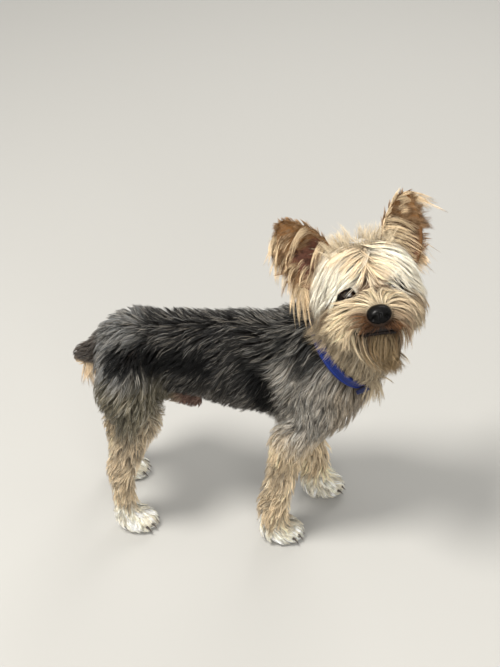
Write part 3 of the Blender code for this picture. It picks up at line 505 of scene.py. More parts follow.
def openFace(skin):
    # Lids over the eyes with an almond opening, the slit of the mouth, and the ears.
    shells = [ball("lids", eyeCentre(side), (eyeLook["radius"] + eyeLook["lid"],) * 3, headTurn, 40, 28)
              for side in sides]
    joined(skin, shells + [earLeaf(side) for side in sides], "UNION")
    cuts = [mouthSlot()]
    for side, sign in sides.items():
        forward, left, up = eyeLook["opening"]
        ahead = eyeCentre(side) + unit(alongHead(forward, left * sign, up)) * eyeLook["radius"]
        turn = Matrix.Rotation(sign * 0.27, 3, "Z") @ Matrix.Rotation(sign * 0.15, 3, "X")
        cuts.append(ball("opening", ahead, (0.0066, 0.0068, 0.0036), headTurn @ np.array(turn), 32, 20))
        cuts.append(ball("socket", eyeCentre(side), (eyeLook["radius"] + 0.0002,) * 3, headTurn, 40, 28))
    return joined(skin, cuts, "DIFFERENCE")


# Markings: the colour of skin and coat at a place, from named zones

tones = {
    "silver": (160, 155, 146), "steel": (46, 45, 44), "flank": (80, 77, 73), "rump": (138, 137, 134),
    "black": (13, 13, 13), "withers": (58, 57, 55), "chest": (148, 136, 119), "belly": (136, 119, 106),
    "sheath": (112, 88, 78), "thigh": (112, 106, 90), "tan": (206, 187, 159), "cream": (230, 208, 174),
    "white": (250, 242, 222), "tail": (84, 78, 73), "apricot": (216, 192, 160), "nape": (96, 92, 87),
    "throat": (176, 160, 134), "forehead": (232, 224, 206), "parting": (220, 197, 163), "stop": (118, 98, 78),
    "rustAndShade": (94, 62, 35), "umberPaintedShade": (28, 17, 12), "moustache": (222, 203, 171), "beard": (126, 107, 79), "underEyeShade": (150, 112, 74),
    "cheek": (170, 154, 129), "poll": (168, 144, 112), "earBack": (108, 75, 42), "earFringe": (212, 189, 154),
    "earSkin": (72, 43, 32), "earInner": (78, 50, 37), "crest": (204, 187, 158), "lid": (22, 17, 15),
}


def tone(name):
    values = np.array(tones[name]) / 255.0
    return np.where(values <= 0.04045, values / 12.92, ((values + 0.055) / 1.055) ** 2.4)


def zone(points, path, radius, axes=(0, 2)):
    # One near a path, fading to nothing over the outer half of the radius; seen along the axes left out.
    flat = points[:, axes]
    apart = np.full(len(points), 1.0)
    for first, second in zip(path, path[1:]):
        first, second = np.array(first), np.array(second)
        along = second - first
        share = np.clip((flat - first) @ along / (along @ along + 1e-12), 0.0, 1.0)
        apart = np.minimum(apart, np.linalg.norm(flat - first - share[:, None] * along, axis=1))
    return 1.0 - smooth(apart, 0.5 * radius, 1.2 * radius)


def markings(points):
    # Colour and grizzle: how much silver and black hairs are mixed in.
    f, l, u = inHead(points + 0.0008 * drift(points, 0.004, 12)).T
    x, y, z = (points + 0.0035 * drift(points, 0.008, 11)).T
    colour = np.tile(tone("steel"), (len(points), 1))
    grizzle = np.full(len(points), 0.7)

    def lay(name, mask, mixed=None):
        colour[:] = colour + np.clip(mask, 0.0, 1.0)[:, None] * (tone(name) - colour)
        if mixed is not None:
            grizzle[:] = grizzle + np.clip(mask, 0.0, 1.0) * (mixed - grizzle)

    lay("silver", smooth(x, 0.024, 0.054) * (1.0 - smooth(z, 0.192, 0.214)), 1.0)
    lay("silver", 0.6 * zone(points, ((-0.012, 0.158), (0.012, 0.150)), 0.017))
    # A lighter grey low on the flank: painted light bounced up from the floor.
    lay("flank", smooth(x, -0.050, -0.020) * (1.0 - smooth(x, 0.012, 0.030)) * (1.0 - smooth(z, 0.168, 0.182)))
    lay("rump", 0.85 * (1.0 - smooth(x, -0.092, -0.066)) * smooth(z, 0.160, 0.176))
    lay("black", zone(points, ((-0.095, 0.1935), (-0.078, 0.1955), (-0.045, 0.195), (-0.017, 0.1975)), 0.0088)
        * smooth(np.abs(y), 0.006, 0.011), 0.05)
    lay("black", zone(points, ((0.021, 0.206), (0.028, 0.190), (0.036, 0.165)), 0.0115), 0.05)
    lay("withers", 0.85 * zone(points, ((0.026, 0.214), (0.066, 0.224)), 0.016), 1.0)
    lay("belly", (1.0 - smooth(z, 0.132, 0.141)) * (1.0 - smooth(np.abs(y), 0.006, 0.016)) * (x > -0.075) * (x < 0.040), 0.2)
    lay("sheath", zone(points, ((-0.064, 0.146), (-0.037, 0.139)), 0.012) * (np.abs(y) < 0.016), 0.0)
    lay("chest", smooth(x, 0.070, 0.092) * (1.0 - smooth(z, 0.168, 0.205)), 0.4)
    fore = smooth(x, 0.000, 0.020)
    lay("thigh", (1.0 - fore) * (1.0 - smooth(z, 0.168, 0.188)) * (1.0 - smooth(x, -0.058, -0.048)), 0.8)
    # On the far side (y > 0) the tan starts 0.02 lower on the hind leg: painted shade on the far leg.
    lay("tan", (1.0 - fore) * (1.0 - smooth(z + 0.02 * (y > 0.0) - 0.60 * (np.minimum(x, -0.066) + 0.095), 0.098, 0.140)
                               ) * (x < -0.045), 0.35)
    lay("silver", fore * smooth(x, 0.024, 0.040) * (1.0 - smooth(z, 0.140, 0.150)), 0.7)
    lay("tan", fore * (1.0 - smooth(z, 0.112, 0.144)), 0.35)
    lay("cream", fore * zone(points, ((0.036, 0.110), (0.062, 0.104)), 0.015), 0.1)
    lay("cream", 0.75 * (1.0 - smooth(z, 0.045, 0.100)), 0.15)
    lay("white", 1.0 - smooth(z, 0.020, 0.036), 0.0)
    lay("tail", (1.0 - smooth(x, -0.120, -0.112)) * smooth(z, 0.158, 0.170), 0.2)
    lay("apricot", (1.0 - smooth(x, -0.113, -0.105)) * (1.0 - smooth(z, 0.166, 0.176)) * smooth(z, 0.152, 0.158)
        * (1.0 - smooth(np.abs(y), 0.010, 0.016)), 0.1)
    past = (points - np.array(collarLook["centre"])) @ unit(np.array(collarLook["axis"]))
    lay("throat", smooth(past, -0.001, 0.006) * smooth(x, 0.06, 0.075), 0.3)
    lay("nape", smooth(past, -0.001, 0.006) * smooth(y, -0.006, 0.012) * smooth(x, 0.05, 0.065), 0.5)

    # the head, in its own directions
    wide = np.abs(l)
    reach = np.linalg.norm(points - np.array(headPose["centre"]), axis=1)
    head = 1.0 - smooth(reach + 0.30 * np.clip(-u, 0.0, 1.0), 0.050, 0.066)
    head = np.maximum(head, smooth(f, 0.020, 0.030) * (1.0 - smooth(reach, 0.075, 0.085)))
    lay("cheek", head, 0.10)
    lay("poll", head * (1.0 - smooth(f, -0.024, -0.004)) * smooth(u, -0.012, 0.010), 0.2)
    lay("throat", head * (1.0 - smooth(f, -0.020, 0.005)) * (1.0 - smooth(u, -0.020, 0.0)), 0.3)
    lay("forehead", head * smooth(u, 0.000, 0.012) * smooth(f, -0.016, 0.002), 0.0)
    lay("parting", 0.9 * head * smooth(u, 0.012, 0.022) * (1.0 - smooth(wide, 0.001, 0.008)) * smooth(f, -0.010, 0.004), 0.0)
    muzzle = head * smooth(f, 0.024, 0.034) * (1.0 - smooth(u, 0.000, 0.008))
    lay("moustache", muzzle, 0.0)
    # Darker brown between the eyes: the hair's own tone, with painted shade under the brows.
    lay("stop", head * smooth(f, 0.024, 0.030) * smooth(u, 0.001, 0.005) * (1.0 - smooth(u, 0.015, 0.021))
        * (1.0 - smooth(wide, 0.005, 0.010)), 0.2)
    # A tan-brown patch below and outside each eye: painted shade under the eye.
    lay("underEyeShade", 0.8 * head * np.exp(-((f - 0.020) / 0.007) ** 2 - ((wide - 0.025) / 0.007) ** 2 - ((u + 0.004) / 0.006) ** 2))
    # Rusty hair below the nose, laid wider on the far side (l > 0): there partly painted shade.
    lay("rustAndShade", muzzle * smooth(f, 0.034, 0.041) * smooth(u, -0.034, -0.027) * (1.0 - smooth(u, -0.008, -0.003))
        * (1.0 - smooth(np.where(l < 0.0, 0.001 - l, l - 0.009), 0.011, 0.0155))
        * np.where(l < 0.0, 1.0, 1.0 - 0.55 * smooth(u, -0.016, -0.009)), 0.0)
    # A fainter rusty brown on the far side of the muzzle only: partly the hair's tone, partly painted shade on the far
    # side.
    lay("rustAndShade", 0.40 * muzzle * smooth(f, 0.030, 0.036) * smooth(l, 0.008, 0.012) * (1.0 - smooth(l, 0.019, 0.024))
        * smooth(u, -0.014, -0.009) * (1.0 - smooth(u, -0.003, 0.001)))
    # Dark umber under the nose: painted shade between nose and mouth.
    lay("umberPaintedShade", 0.55 * muzzle * smooth(f, 0.042, 0.046) * (1.0 - smooth(u, -0.014, -0.010)) * (1.0 - smooth(wide, 0.005, 0.010)))
    lip = mouthHeight(l)
    lay("beard", muzzle * (1.0 - smooth(u - lip, -0.0030, -0.0010)), 0.1)
    lay("rustAndShade", 0.8 * smooth(f, 0.030, 0.036) * np.exp(-((l + 0.0135) / 0.0036) ** 2 - ((u + 0.019) / 0.0045) ** 2))
    # Umber along the mouth line: painted shade in the mouth's crease.
    lay("umberPaintedShade", muzzle * smooth(f, 0.028, 0.036) * smooth(u - lip, -0.0020, -0.0010)
        * (1.0 - smooth(u - lip, 0.0010, 0.0042)), 0.0)
    return colour, grizzle


def paintSkin(skin):
    points = corners(skin.data)
    colour, _ = markings(points)
    f, l, u = inHead(points).T
    # The skin takes the coat's markings at 0.62 of their brightness: painted shade under the coat.
    colour = 0.62 * colour + 0.06 * tone("belly")
    snout = smooth(f, 0.040, 0.046) * smooth(u, -0.026, -0.022) * (np.abs(l) < 0.016)
    colour *= (1.0 - 0.55 * snout)[:, None]
    for side in sides:
        root, up, across, facing = earAxes(side)
        local = points - root
        high, out = local @ up, local @ facing
        distance = flesh.measure(points)[0]
        onLeaf = (high > 0.0) & (high < 1.2 * earLook["length"]) & (distance > 0.0045) \
            & (np.linalg.norm(local, axis=1) < 0.075) & (np.sign(inHead(points)[:, 1]) == sides[side])
        turn = np.clip(local @ across / (0.5 * earLook["width"][side]), -1.0, 1.0)
        front = out > -earLook["cup"] * (1.0 - 0.6 * high / earLook["length"]) * (1.0 - turn * turn)
        rim = smooth(np.abs(turn), 0.72, 0.95)[:, None]
        rim = np.maximum(rim, smooth(high / earLook["length"], 0.46, 0.62)[:, None])
        inner = tone("earSkin") + rim * (0.8 * tone("earBack") - tone("earSkin"))
        colour[onLeaf] = np.where(front[:, None], inner, tone("earBack"))[onLeaf]
        eye = np.linalg.norm(points - eyeCentre(side), axis=1)
        colour[eye < eyeLook["radius"] + 0.0022] = tone("lid")
    centre, spokes, radii = mouthArc(31)
    close = np.linalg.norm(points - onHead(*places["mouth"]), axis=1) < 0.04
    lips = np.where(close)[0]
    apart = nearestTo(points[lips], centre + spokes * radii[:, None])
    colour[lips] += (1.0 - smooth(apart, 0.003, 0.0048))[:, None] * (tone("lid") - colour[lips])
    giveColour(skin.data, "coatColour", colour)


# The coat: hairs gathered in tufts round guide hairs

coatLook = {"seed": 4, "hairsInTuft": 9, "gather": 0.58, "strays": 0.03, "drift": 0.30, "ruffle": 0.10}


def drift(points, size, seed):
    # A smooth wandering direction over space.
    draw = np.random.default_rng(seed)
    total = np.zeros_like(points)
    for _ in range(4):
        wave = draw.normal(size=(3, 3)) / size
        total += np.sin(points @ wave + draw.uniform(0.0, 6.28, 3))
    return total / 2.0


def scatter(skin, draw):
    # Roots over the skin, as dense as each region's coat.
    mesh = skin.data
    mesh.calc_loop_triangles()
    triangles = np.empty(3 * len(mesh.loop_triangles), np.int32)
    mesh.loop_triangles.foreach_get("vertices", triangles)
    points = corners(mesh)[triangles.reshape(-1, 3)]
    areas = 0.5 * np.linalg.norm(np.cross(points[:, 1] - points[:, 0], points[:, 2] - points[:, 0]), axis=1)
    middle = points.mean(axis=1)
    dense = flesh.measure(middle)[2][:, 4] * 1e4
    many = draw.poisson(areas * dense)
    chosen = np.repeat(np.arange(len(points)), many)
    mix = draw.dirichlet((1.0, 1.0, 1.0), size=len(chosen))
    return np.einsum("ij,ijk->ik", mix, points[chosen])


def trimmed(points, slope):
    # How much of its region's length the hair has at each place.
    f, l, u = inHead(points).T
    wide = np.abs(l)
    x, z = points[:, 0], points[:, 2]
    under = smooth(-unit(slope)[:, 2], 0.25, 0.75) * (x < 0.045) * (z > 0.115) * (f < -0.04)
    loin = smooth(x, -0.085, -0.070) * (1.0 - smooth(x, -0.010, 0.020)) * (1.0 - smooth(z, 0.162, 0.176)) * (z > 0.125)
    rump = 1.0 - smooth(np.linalg.norm(points - np.array(places["tailRoot"]), axis=1), 0.012, 0.034)
    lip = smooth(f, 0.036, 0.044) * smooth(u, -0.024, -0.021) * (1.0 - smooth(u, -0.012, -0.004)) \
        * (1.0 - smooth(wide, 0.009, 0.016))
    stop = smooth(f, 0.020, 0.027) * smooth(u, -0.002, 0.004) * (1.0 - smooth(u, 0.014, 0.021)) \
        * (1.0 - smooth(wide, 0.008, 0.014))
    return (1.0 - 0.50 * under) * (1.0 - 0.45 * loin) * (1.0 - 0.30 * rump) * (1.0 - 0.68 * lip) * (1.0 - 0.58 * stop)


def hanging(points):
    # How far the hair hangs clear of the coat's surface at its tips, as a share of the coat's depth.
    f, l, u = inHead(points).T
    beard = smooth(f, 0.012, 0.026) * (1.0 - smooth(u, -0.030, -0.022)) * (np.abs(l) < 0.02)
    moustache = smooth(f, 0.022, 0.030) * (1.0 - smooth(u, -0.006, 0.002)) * smooth(u, -0.026, -0.020)
    cheek = smooth(f, -0.020, -0.008) * (1.0 - smooth(f, 0.014, 0.024)) * (1.0 - smooth(u, -0.006, 0.006)) \
        * smooth(np.abs(l), 0.016, 0.024)
    near = np.linalg.norm(points - np.array(headPose["centre"]), axis=1) < 0.075
    return near * (0.75 * beard + 0.30 * moustache + 0.40 * cheek)


def combed(roots, lengths, lifts, steps, draw):
    # Guide paths: from the skin along the coat's lie, rising to the coat's surface.
    points = roots.copy()
    path = [points]
    hang = hanging(roots)
    wander = drift(roots, 0.012, 3) * coatLook["drift"] + draw.normal(0.0, coatLook["ruffle"], roots.shape)
    for step in range(1, steps + 1):
        _, slope, hair, _ = flesh.measure(points)
        outward = unit(slope)
        lie = unit(hair[:, 5:]) + wander
        onTrunk = (points[:, 0] < 0.06) & (points[:, 2] > 0.15) & (points[:, 2] < 0.23)
        lie[:, 1] += 0.45 * np.tanh(points[:, 1] / 0.012) * onTrunk
        lie = unit(lie - (lie * outward).sum(axis=1, keepdims=True) * outward)
        share = step / steps
        reach = skinReach + (1.0 - skinReach) * lifts * (1.0 - (1.0 - share) ** 1.7) + hang * share ** 2
        points = flesh.settle(points + lie * (lengths / steps)[:, None], reach, rounds=2)
        path.append(points)
    return np.stack(path, axis=1)


def nearestGuide(guides, roots):
    tree = KDTree(len(guides))
    for number, point in enumerate(guides):
        tree.insert(point, number)
    tree.balance()
    return np.array([tree.find(root)[1] for root in roots])


def sampled(paths, shares):
    # Points at the given shares of each path's length; shares has a row for each path.
    steps = paths.shape[1] - 1
    place = np.clip(shares * steps, 0.0, steps - 1e-6)
    low = place.astype(int)
    part = (place - low)[..., None]
    rows = np.arange(len(paths))[:, None]
    return paths[rows, low] * (1.0 - part) + paths[rows, low + 1] * part


def tufted(guides, roots, owner, rings, gather, frizz, draw):
    # Each hair follows its guide and draws in towards it on the way to the tip.
    count = len(roots)
    shares = np.linspace(0.0, 1.0, rings + 1)[None, :] * draw.uniform(0.72, 1.06, count)[:, None].clip(None, 1.0)
    line = sampled(guides[owner], shares)
    offset = roots - guides[owner, 0]
    held = 1.0 - (gather * draw.uniform(0.6, 1.15, count))[:, None] * shares ** 0.9
    hairs = line + offset[:, None, :] * held[..., None]
    loose = draw.normal(size=(count, 1, 3)) + 0.6 * draw.normal(size=(count, rings + 1, 3))
    hairs += loose * (frizz[:, None] * shares ** 1.3)[..., None]
    hairs[:, 0] = roots
    return hairs


def clearOfFeatures(hairs, draw):
    # Cuts hairs where they would cross the eyes, nose or mouth; those that start there are left out.
    count, checks = len(hairs), 16
    fine = sampled(hairs, np.tile(np.linspace(0.0, 1.0, checks), (count, 1)))
    local = inHead(fine.reshape(-1, 3)).reshape(fine.shape)
    # the beard's front hairs end a little past the solids
    blocked = fine[..., 1] < cadBox[0][1] - dogShift[1] - 0.0045
    for side, sign in sides.items():
        broad, tall, rate = eyeLook["clear"][side]
        off = local - np.array(eyeLook["place"]) * (1.0, sign, 1.0)
        axis = unit(np.array((0.95, 0.14 * sign, 0.20)))
        ahead = off @ axis
        aside = off - ahead[..., None] * axis
        wide = np.hypot(aside[..., 1] / broad, aside[..., 2] / tall)
        blocked |= (ahead > 0.0) & (ahead < 0.035) & (wide < 1.0) & (draw.random(count) < rate)[:, None]
        blocked |= np.linalg.norm(off, axis=2) < eyeLook["radius"] + 0.0012
    nose = local - np.array(places["nose"])
    blocked |= np.linalg.norm(nose / (0.0080, 0.0098, 0.0078), axis=2) < 1.0
    blocked |= (nose[..., 0] > 0.0) & (np.linalg.norm(nose[..., 1:] / (0.0096, 0.0080), axis=2) < 1.0)
    apart = local[..., 2] - mouthHeight(local[..., 1])
    across = (local[..., 0] > 0.028) & (np.abs(local[..., 1]) < 0.019) & (np.abs(apart) < 0.0022)
    blocked |= across & (draw.random(count) < 0.96)[:, None]
    first = np.where(blocked.any(axis=1), blocked.argmax(axis=1), checks)
    left = np.clip((first - 1) / (checks - 1), 0.0, 1.0)
    return first > 4, sampled(hairs, np.linspace(0.0, 1.0, hairs.shape[1])[None, :] * left[:, None])


def clearOfClaws(hairs, draw):
    kept = np.ones(len(hairs), dtype=bool)
    for _, root, ahead, _, _ in clawPlaces():
        tip = root + ahead * (0.75 * clawLook["length"]) + (0.0, 0.0, 0.0012 - 0.6 * clawLook["fall"])
        close = (np.linalg.norm(hairs - tip, axis=2) < 0.0027).any(axis=1)
        kept &= ~(close & (draw.random(len(hairs)) < 0.85))
    return kept


def stopAtCollar(guides):
    # How far along each neck guide the collar stops it, as a share of its length.
    middle, axis = np.array(collarLook["centre"]), unit(np.array(collarLook["axis"]))
    high = (guides - middle) @ axis
    edge = 0.5 * collarLook["width"] - 0.0014
    near = np.linalg.norm(guides[:, 0] - middle, axis=1) < 0.055
    drop = np.maximum(high[:, 0] - high[:, -1], 1e-6)
    share = np.where((high[:, 0] > edge) & (high[:, -1] < edge), (high[:, 0] - edge) / drop, 1.0)
    share = np.where(near, share, 1.0)
    share[near & (np.abs(high[:, 0]) < edge + 0.0026)] = 0.0
    return share


def hairMesh(name, hairs, widths, colours, places2, material):
    # Closed three-sided hairs that taper to a point, each with its own patch of the bake map.
    count, rings = hairs.shape[0], hairs.shape[1] - 1
    along = unit(np.gradient(hairs, axis=1))
    outward = unit(flesh.measure(hairs[:, rings // 2])[1])[:, None, :]
    side = unit(np.cross(along, outward))
    out = np.cross(side, along)
    shares = np.arange(rings) / rings
    taper = (0.70 + 0.30 * np.sin(np.pi * np.minimum(1.0, shares + 0.25))) * (1.0 - 0.45 * shares)
    half = 0.5 * widths[:, None, None] * taper[None, :, None]
    body = hairs[:, :rings]
    ring = np.stack([body + side[:, :rings] * half, body + out[:, :rings] * half * 0.9, body - side[:, :rings] * half],
                    axis=2)
    points = np.concatenate([ring.reshape(count, rings * 3, 3), hairs[:, rings:]], axis=1)
    faces = [(0, 1, 2)]
    for r in range(rings - 1):
        for i in range(3):
            a, b = 3 * r + i, 3 * r + (i + 1) % 3
            faces += [(b, a, a + 3), (b, a + 3, b + 3)]
    faces += [(3 * rings - 3 + (i + 1) % 3, 3 * rings - 3 + i, 3 * rings) for i in range(3)]
    faces = np.array(faces)
    each = 3 * rings + 1
    triangles = (faces[None] + (np.arange(count) * each)[:, None, None]).reshape(-1, 3)
    piece = fromArrays(name, points.reshape(-1, 3) + dogShift, triangles)
    mesh = piece.data
    alongHair = np.append(np.repeat(shares, 3), 1.0)
    giveValue(mesh, "along", np.tile(alongHair, count))
    giveColour(mesh, "coatColour", np.repeat(colours, each, axis=0))
    across = np.append(np.tile((0.0, 0.5, 1.0), rings), 0.5)
    patch = np.stack([across - 0.5, alongHair - 0.5], axis=1) * 0.003
    uvs = (places2[:, None, :] + patch[None]).reshape(-1, 2)
    mesh.uv_layers.new(name="OFBake").data.foreach_set("uv", uvs[triangles.ravel()].astype(np.float32).ravel())
    mesh.materials.append(material)
    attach(piece, "root")
    return piece


def unwrapped(points, owners):
    # A place on an unwrap of the skin: an island for each form, round its axis and along it.
    islands, island = np.unique(owners, return_inverse=True)
    across = math.ceil(math.sqrt(len(islands)))
    found = np.empty((len(points), 2))
    for number, form in enumerate(flesh.forms[i] for i in islands):
        rows = island == number
        if "start" in form:
            axis = unit(form["end"] - form["start"])
            middle = 0.5 * (form["start"] + form["end"])
            reach = 0.5 * np.linalg.norm(form["end"] - form["start"]) + 0.022
        else:
            axis, middle, reach = form["turn"][:, 0], form["centre"], form["size"][0] + 0.014
        up = unit(np.cross(axis, (0.1, 1.0, 0.2)))
        local = points[rows] - middle
        turn = np.arctan2(local @ np.cross(axis, up), local @ up) / (2 * math.pi) + 0.5
        high = np.clip(0.5 + 0.5 * (local @ axis) / reach, 0.0, 1.0)
        corner = np.array((number % across, number // across))
        found[rows] = (corner + 0.04 + 0.92 * np.stack([turn, high], axis=1)) / across
    return found


def hairColours(roots, owner, draw):
    # Silver and black hairs are mixed into the grizzled parts; tufts and single hairs differ in shade.
    colour, grizzle = markings(roots)
    count = len(roots)
    pick, mood = draw.random(count), draw.random(owner.max() + 1)[owner]
    silver = (pick < 0.42 * grizzle * mood)[:, None]
    black = (pick > 1.0 - 0.60 * grizzle * (1.0 - mood))[:, None]
    colour = np.where(silver, 0.62 * colour + 0.38 * tone("silver") * 1.35, colour)
    colour = np.where(black, 0.36 * colour, colour)
    tuft = draw.normal(0.0, 1.0, (owner.max() + 1, 1))[owner] * (0.12 + 0.12 * (roots[:, 2:] < 0.12))
    shade = draw.normal(1.0, 0.15, (count, 1)) * (1.0 + tuft)
    shade *= 1.0 + 0.16 * drift(roots, 0.005, 9)[:, :1]
    warm = draw.normal(0.0, 0.04, (count, 1)) * np.array((1.0, 0.2, -0.8))
    return np.clip(colour * np.clip(shade, 0.5, 1.5) * (1.0 + warm), 0.003, 0.95)


def buildCoat(skin, materials):
    draw = np.random.default_rng(coatLook["seed"])
    roots = scatter(skin, draw)
    roots = roots[roots[:, 2] > 0.0022]
    _, slope, hair, owners = flesh.measure(roots)
    lead = draw.random(len(roots)) < 1.0 / coatLook["hairsInTuft"]
    guideRoots, guideHair = roots[lead], hair[lead]
    lengths = guideHair[:, 1] * trimmed(guideRoots, slope[lead]) * draw.uniform(0.82, 1.12, lead.sum())
    lifts = 0.66 + 0.34 * draw.random(lead.sum()) ** 0.7
    lifts[draw.random(len(lifts)) < coatLook["strays"]] = 1.10
    guides = combed(guideRoots, lengths, lifts, 6, draw)
    stop = stopAtCollar(guides)
    guides = sampled(guides, np.linspace(0.0, 1.0, 7)[None, :] * stop[:, None])
    along = unit(np.gradient(guides, axis=1))
    outward = unit(flesh.measure(guides[:, 3])[1])[:, None, :]
    sideways = unit(np.cross(along, outward))
    steps = np.linspace(0.0, 1.0, 7)[None, :]
    phase = 3.0 * drift(guideRoots, 0.012, 6)[:, :1] + draw.normal(0.0, 0.6, (len(guides), 1))
    swing = guideHair[:, 3:4] * np.sin(2.0 * math.pi * 1.10 * steps + phase) * steps
    guides += swing[..., None] * sideways
    owner = nearestGuide(guideRoots, roots)
    kept = stop[owner] > 0.30
    print("coat:", len(roots), "hairs on", len(guides), "guides")

    groups = np.array([form["group"] for form in flesh.forms])[owners]
    plans = {"head": (4, "head_coat"), "neck": (3, "neck_coat"), "body": (3, "body_coat"), "tail": (3, "tail_coat"),
             "leg": (3, "leg_coat")}
    total = 0
    for group, (rings, slot) in plans.items():
        rows = np.where((groups == group) & kept)[0]
        frizz = 0.14 * hair[rows, 3] + 0.00010
        hairs = tufted(guides, roots[rows], owner[rows], rings, coatLook["gather"], frizz, draw)
        free = np.ones(len(rows), dtype=bool)
        if group in ("head", "neck"):
            free, hairs = clearOfFeatures(hairs, draw)
        elif group == "leg":
            free = clearOfClaws(hairs, draw)
        free &= hairs[..., 2].min(axis=1) > 0.0004
        rows, hairs = rows[free], hairs[free]
        widths = hair[rows, 2] * draw.uniform(0.75, 1.25, len(rows))
        colours = hairColours(roots[rows], owner[rows], draw)
        order = np.argsort(roots[rows] @ (np.array((1.0, 0.0, 0.3)) if group != "leg" else np.array((0.3, 1.0, 0.0))))
        pieces = math.ceil(len(rows) * (6 * rings - 2) / 190000)
        for number, part in enumerate(np.array_split(order, pieces)):
            name = group + "Coat" + (str(number + 1) if pieces > 1 else "")
            uvs = unwrapped(roots[rows[part]], owners[rows[part]])
            hairMesh(name, hairs[part], widths[part], colours[part], uvs, materials[slot])
        total += len(rows) * (6 * rings - 2)
        print(group, "coat:", len(rows), "hairs in", pieces, "pieces")
    print("coat triangles without the ears:", total)


# Hair of the ears, and the wisps that stand up on the crown between them

earCoat = {
    # rings, hairs, hairs in a tuft, turn from and to, share from and to, face,
    # direction, bend, length, width, gather, tone
    "back": (2, 1500, 10, -1.0, 1.0, 0.02, 1.0, -1,
             (0.25, 0.85, -0.12), (0.1, -0.20, 0.10), 0.012, 0.00058, 0.5, "earBack"),
    "fringe": (5, 480, 9, 0.60, 1.0, 0.06, 0.90, 1,
               (0.80, 0.10, 0.35), (0.0, -0.75, -0.1), 0.019, 0.00042, 0.65, "earFringe"),
    "fringeBack": (5, 380, 10, 0.60, 1.0, 0.10, 0.94, -1,
                   (0.80, 0.25, 0.0), (0.0, -0.70, 0.0), 0.016, 0.00044, 0.6, "earBack"),
    "top": (2, 1500, 8, -0.95, 1.0, 0.52, 1.0, 1,
            (0.62, 0.36, 0.06), (0.2, -0.40, -0.08), 0.010, 0.00054, 0.4, "earBack"),
    "edge": (2, 320, 9, -1.0, -0.80, 0.15, 0.95, 1,
             (0.10, 0.90, 0.16), (0.3, -0.20, 0.0), 0.007, 0.00045, 0.5, "earBack"),
    "arcs": (5, 75, 5, -1.0, -0.72, 0.22, 0.74, 1,
             (0.60, 0.40, 0.70), (0.45, -0.85, -0.75), 0.026, 0.00042, 0.92, "earFringe"),
    "cover": (2, 700, 8, 0.45, 1.0, 0.12, 0.80, 1,
              (0.76, 0.10, 0.14), (0.1, -0.60, 0.0), 0.011, 0.00048, 0.6, "earBack"),
    "pale": (5, 150, 7, 0.20, 0.9, 0.12, 0.80, 1,
             (0.76, 0.15, 0.50), (0.1, -0.65, 0.0), 0.018, 0.00040, 0.75, "earFringe"),
    "inside": (2, 700, 6, -0.80, 0.40, 0.02, 0.62, 1,
               (0.35, 0.60, 0.20), (0.2, -0.3, 0.0), 0.0055, 0.00040, 0.4, "earInner"),
    "root": (5, 260, 8, -0.8, 0.2, 0.0, 0.10, 1,
             (0.45, 0.45, 0.70), (0.5, -0.80, -0.2), 0.018, 0.00044, 0.7, "earFringe"),
    "lobe": (5, 170, 8, 0.3, 1.0, 0.0, 0.24, 1,
             (0.85, -0.10, 0.40), (0.1, -0.95, 0.0), 0.022, 0.00046, 0.85, "earFringe"),
    "lobeShade": (5, 190, 8, 0.2, 1.0, 0.0, 0.26, 1,
                  (0.55, -0.55, 0.22), (0.25, -0.50, 0.0), 0.019, 0.00046, 0.8, "poll"),
    "tip": (2, 160, 9, -0.7, 0.9, 0.92, 1.0, 1,
            (0.50, 0.60, 0.10), (0.6, -0.55, 0.0), 0.006, 0.00046, 0.6, "earBack"),
}
farEarCoat = {
    "edge": (5, 260, 8, -1.0, -0.80, 0.10, 0.90, 1,
             (-0.22, 0.92, 0.20), (0.5, -0.10, 0.0), 0.010, 0.00038, 0.6, "earFringe"),
    "lobe": (5, 180, 10, 0.3, 1.0, 0.0, 0.20, 1,
             (0.65, -0.15, 0.35), (0.1, -0.60, 0.0), 0.011, 0.00046, 0.6, "earFringe"),
    "lobeShade": (5, 90, 9, 0.3, 1.0, 0.0, 0.20, 1,
                  (0.65, -0.35, 0.25), (0.1, -0.50, 0.0), 0.010, 0.00046, 0.7, "poll"),
    "fringe": (2, 300, 10, 0.55, 1.0, 0.06, 0.86, 1,
               (0.70, 0.25, 0.35), (0.2, -0.60, -0.1), 0.007, 0.00046, 0.6, "earBack"),
    "fringeBack": (2, 320, 10, 0.60, 1.0, 0.10, 0.96, -1,
                   (0.70, 0.30, 0.0), (0.0, -0.50, 0.0), 0.007, 0.00046, 0.6, "earBack"),
    "arcs": (5, 200, 6, -1.0, -0.72, 0.08, 0.60, 1,
             (0.75, 0.34, 0.60), (0.60, -0.62, -0.70), 0.034, 0.00044, 0.92, "earFringe"),
    "cover": (2, 900, 8, -0.6, 1.0, 0.48, 0.98, 1,
              (0.60, 0.30, 0.06), (0.1, -0.40, -0.06), 0.010, 0.00054, 0.4, "earBack"),
    "pale": (5, 160, 8, -0.4, 0.6, 0.60, 0.95, 1,
             (0.40, 0.70, 0.22), (0.6, -0.40, 0.0), 0.011, 0.00040, 0.75, "earFringe"),
    "tip": (5, 220, 9, -0.9, 0.9, 0.88, 1.0, 1,
            (0.80, 0.34, 0.10), (0.7, -0.55, 0.0), 0.017, 0.00042, 0.8, "earFringe"),
}
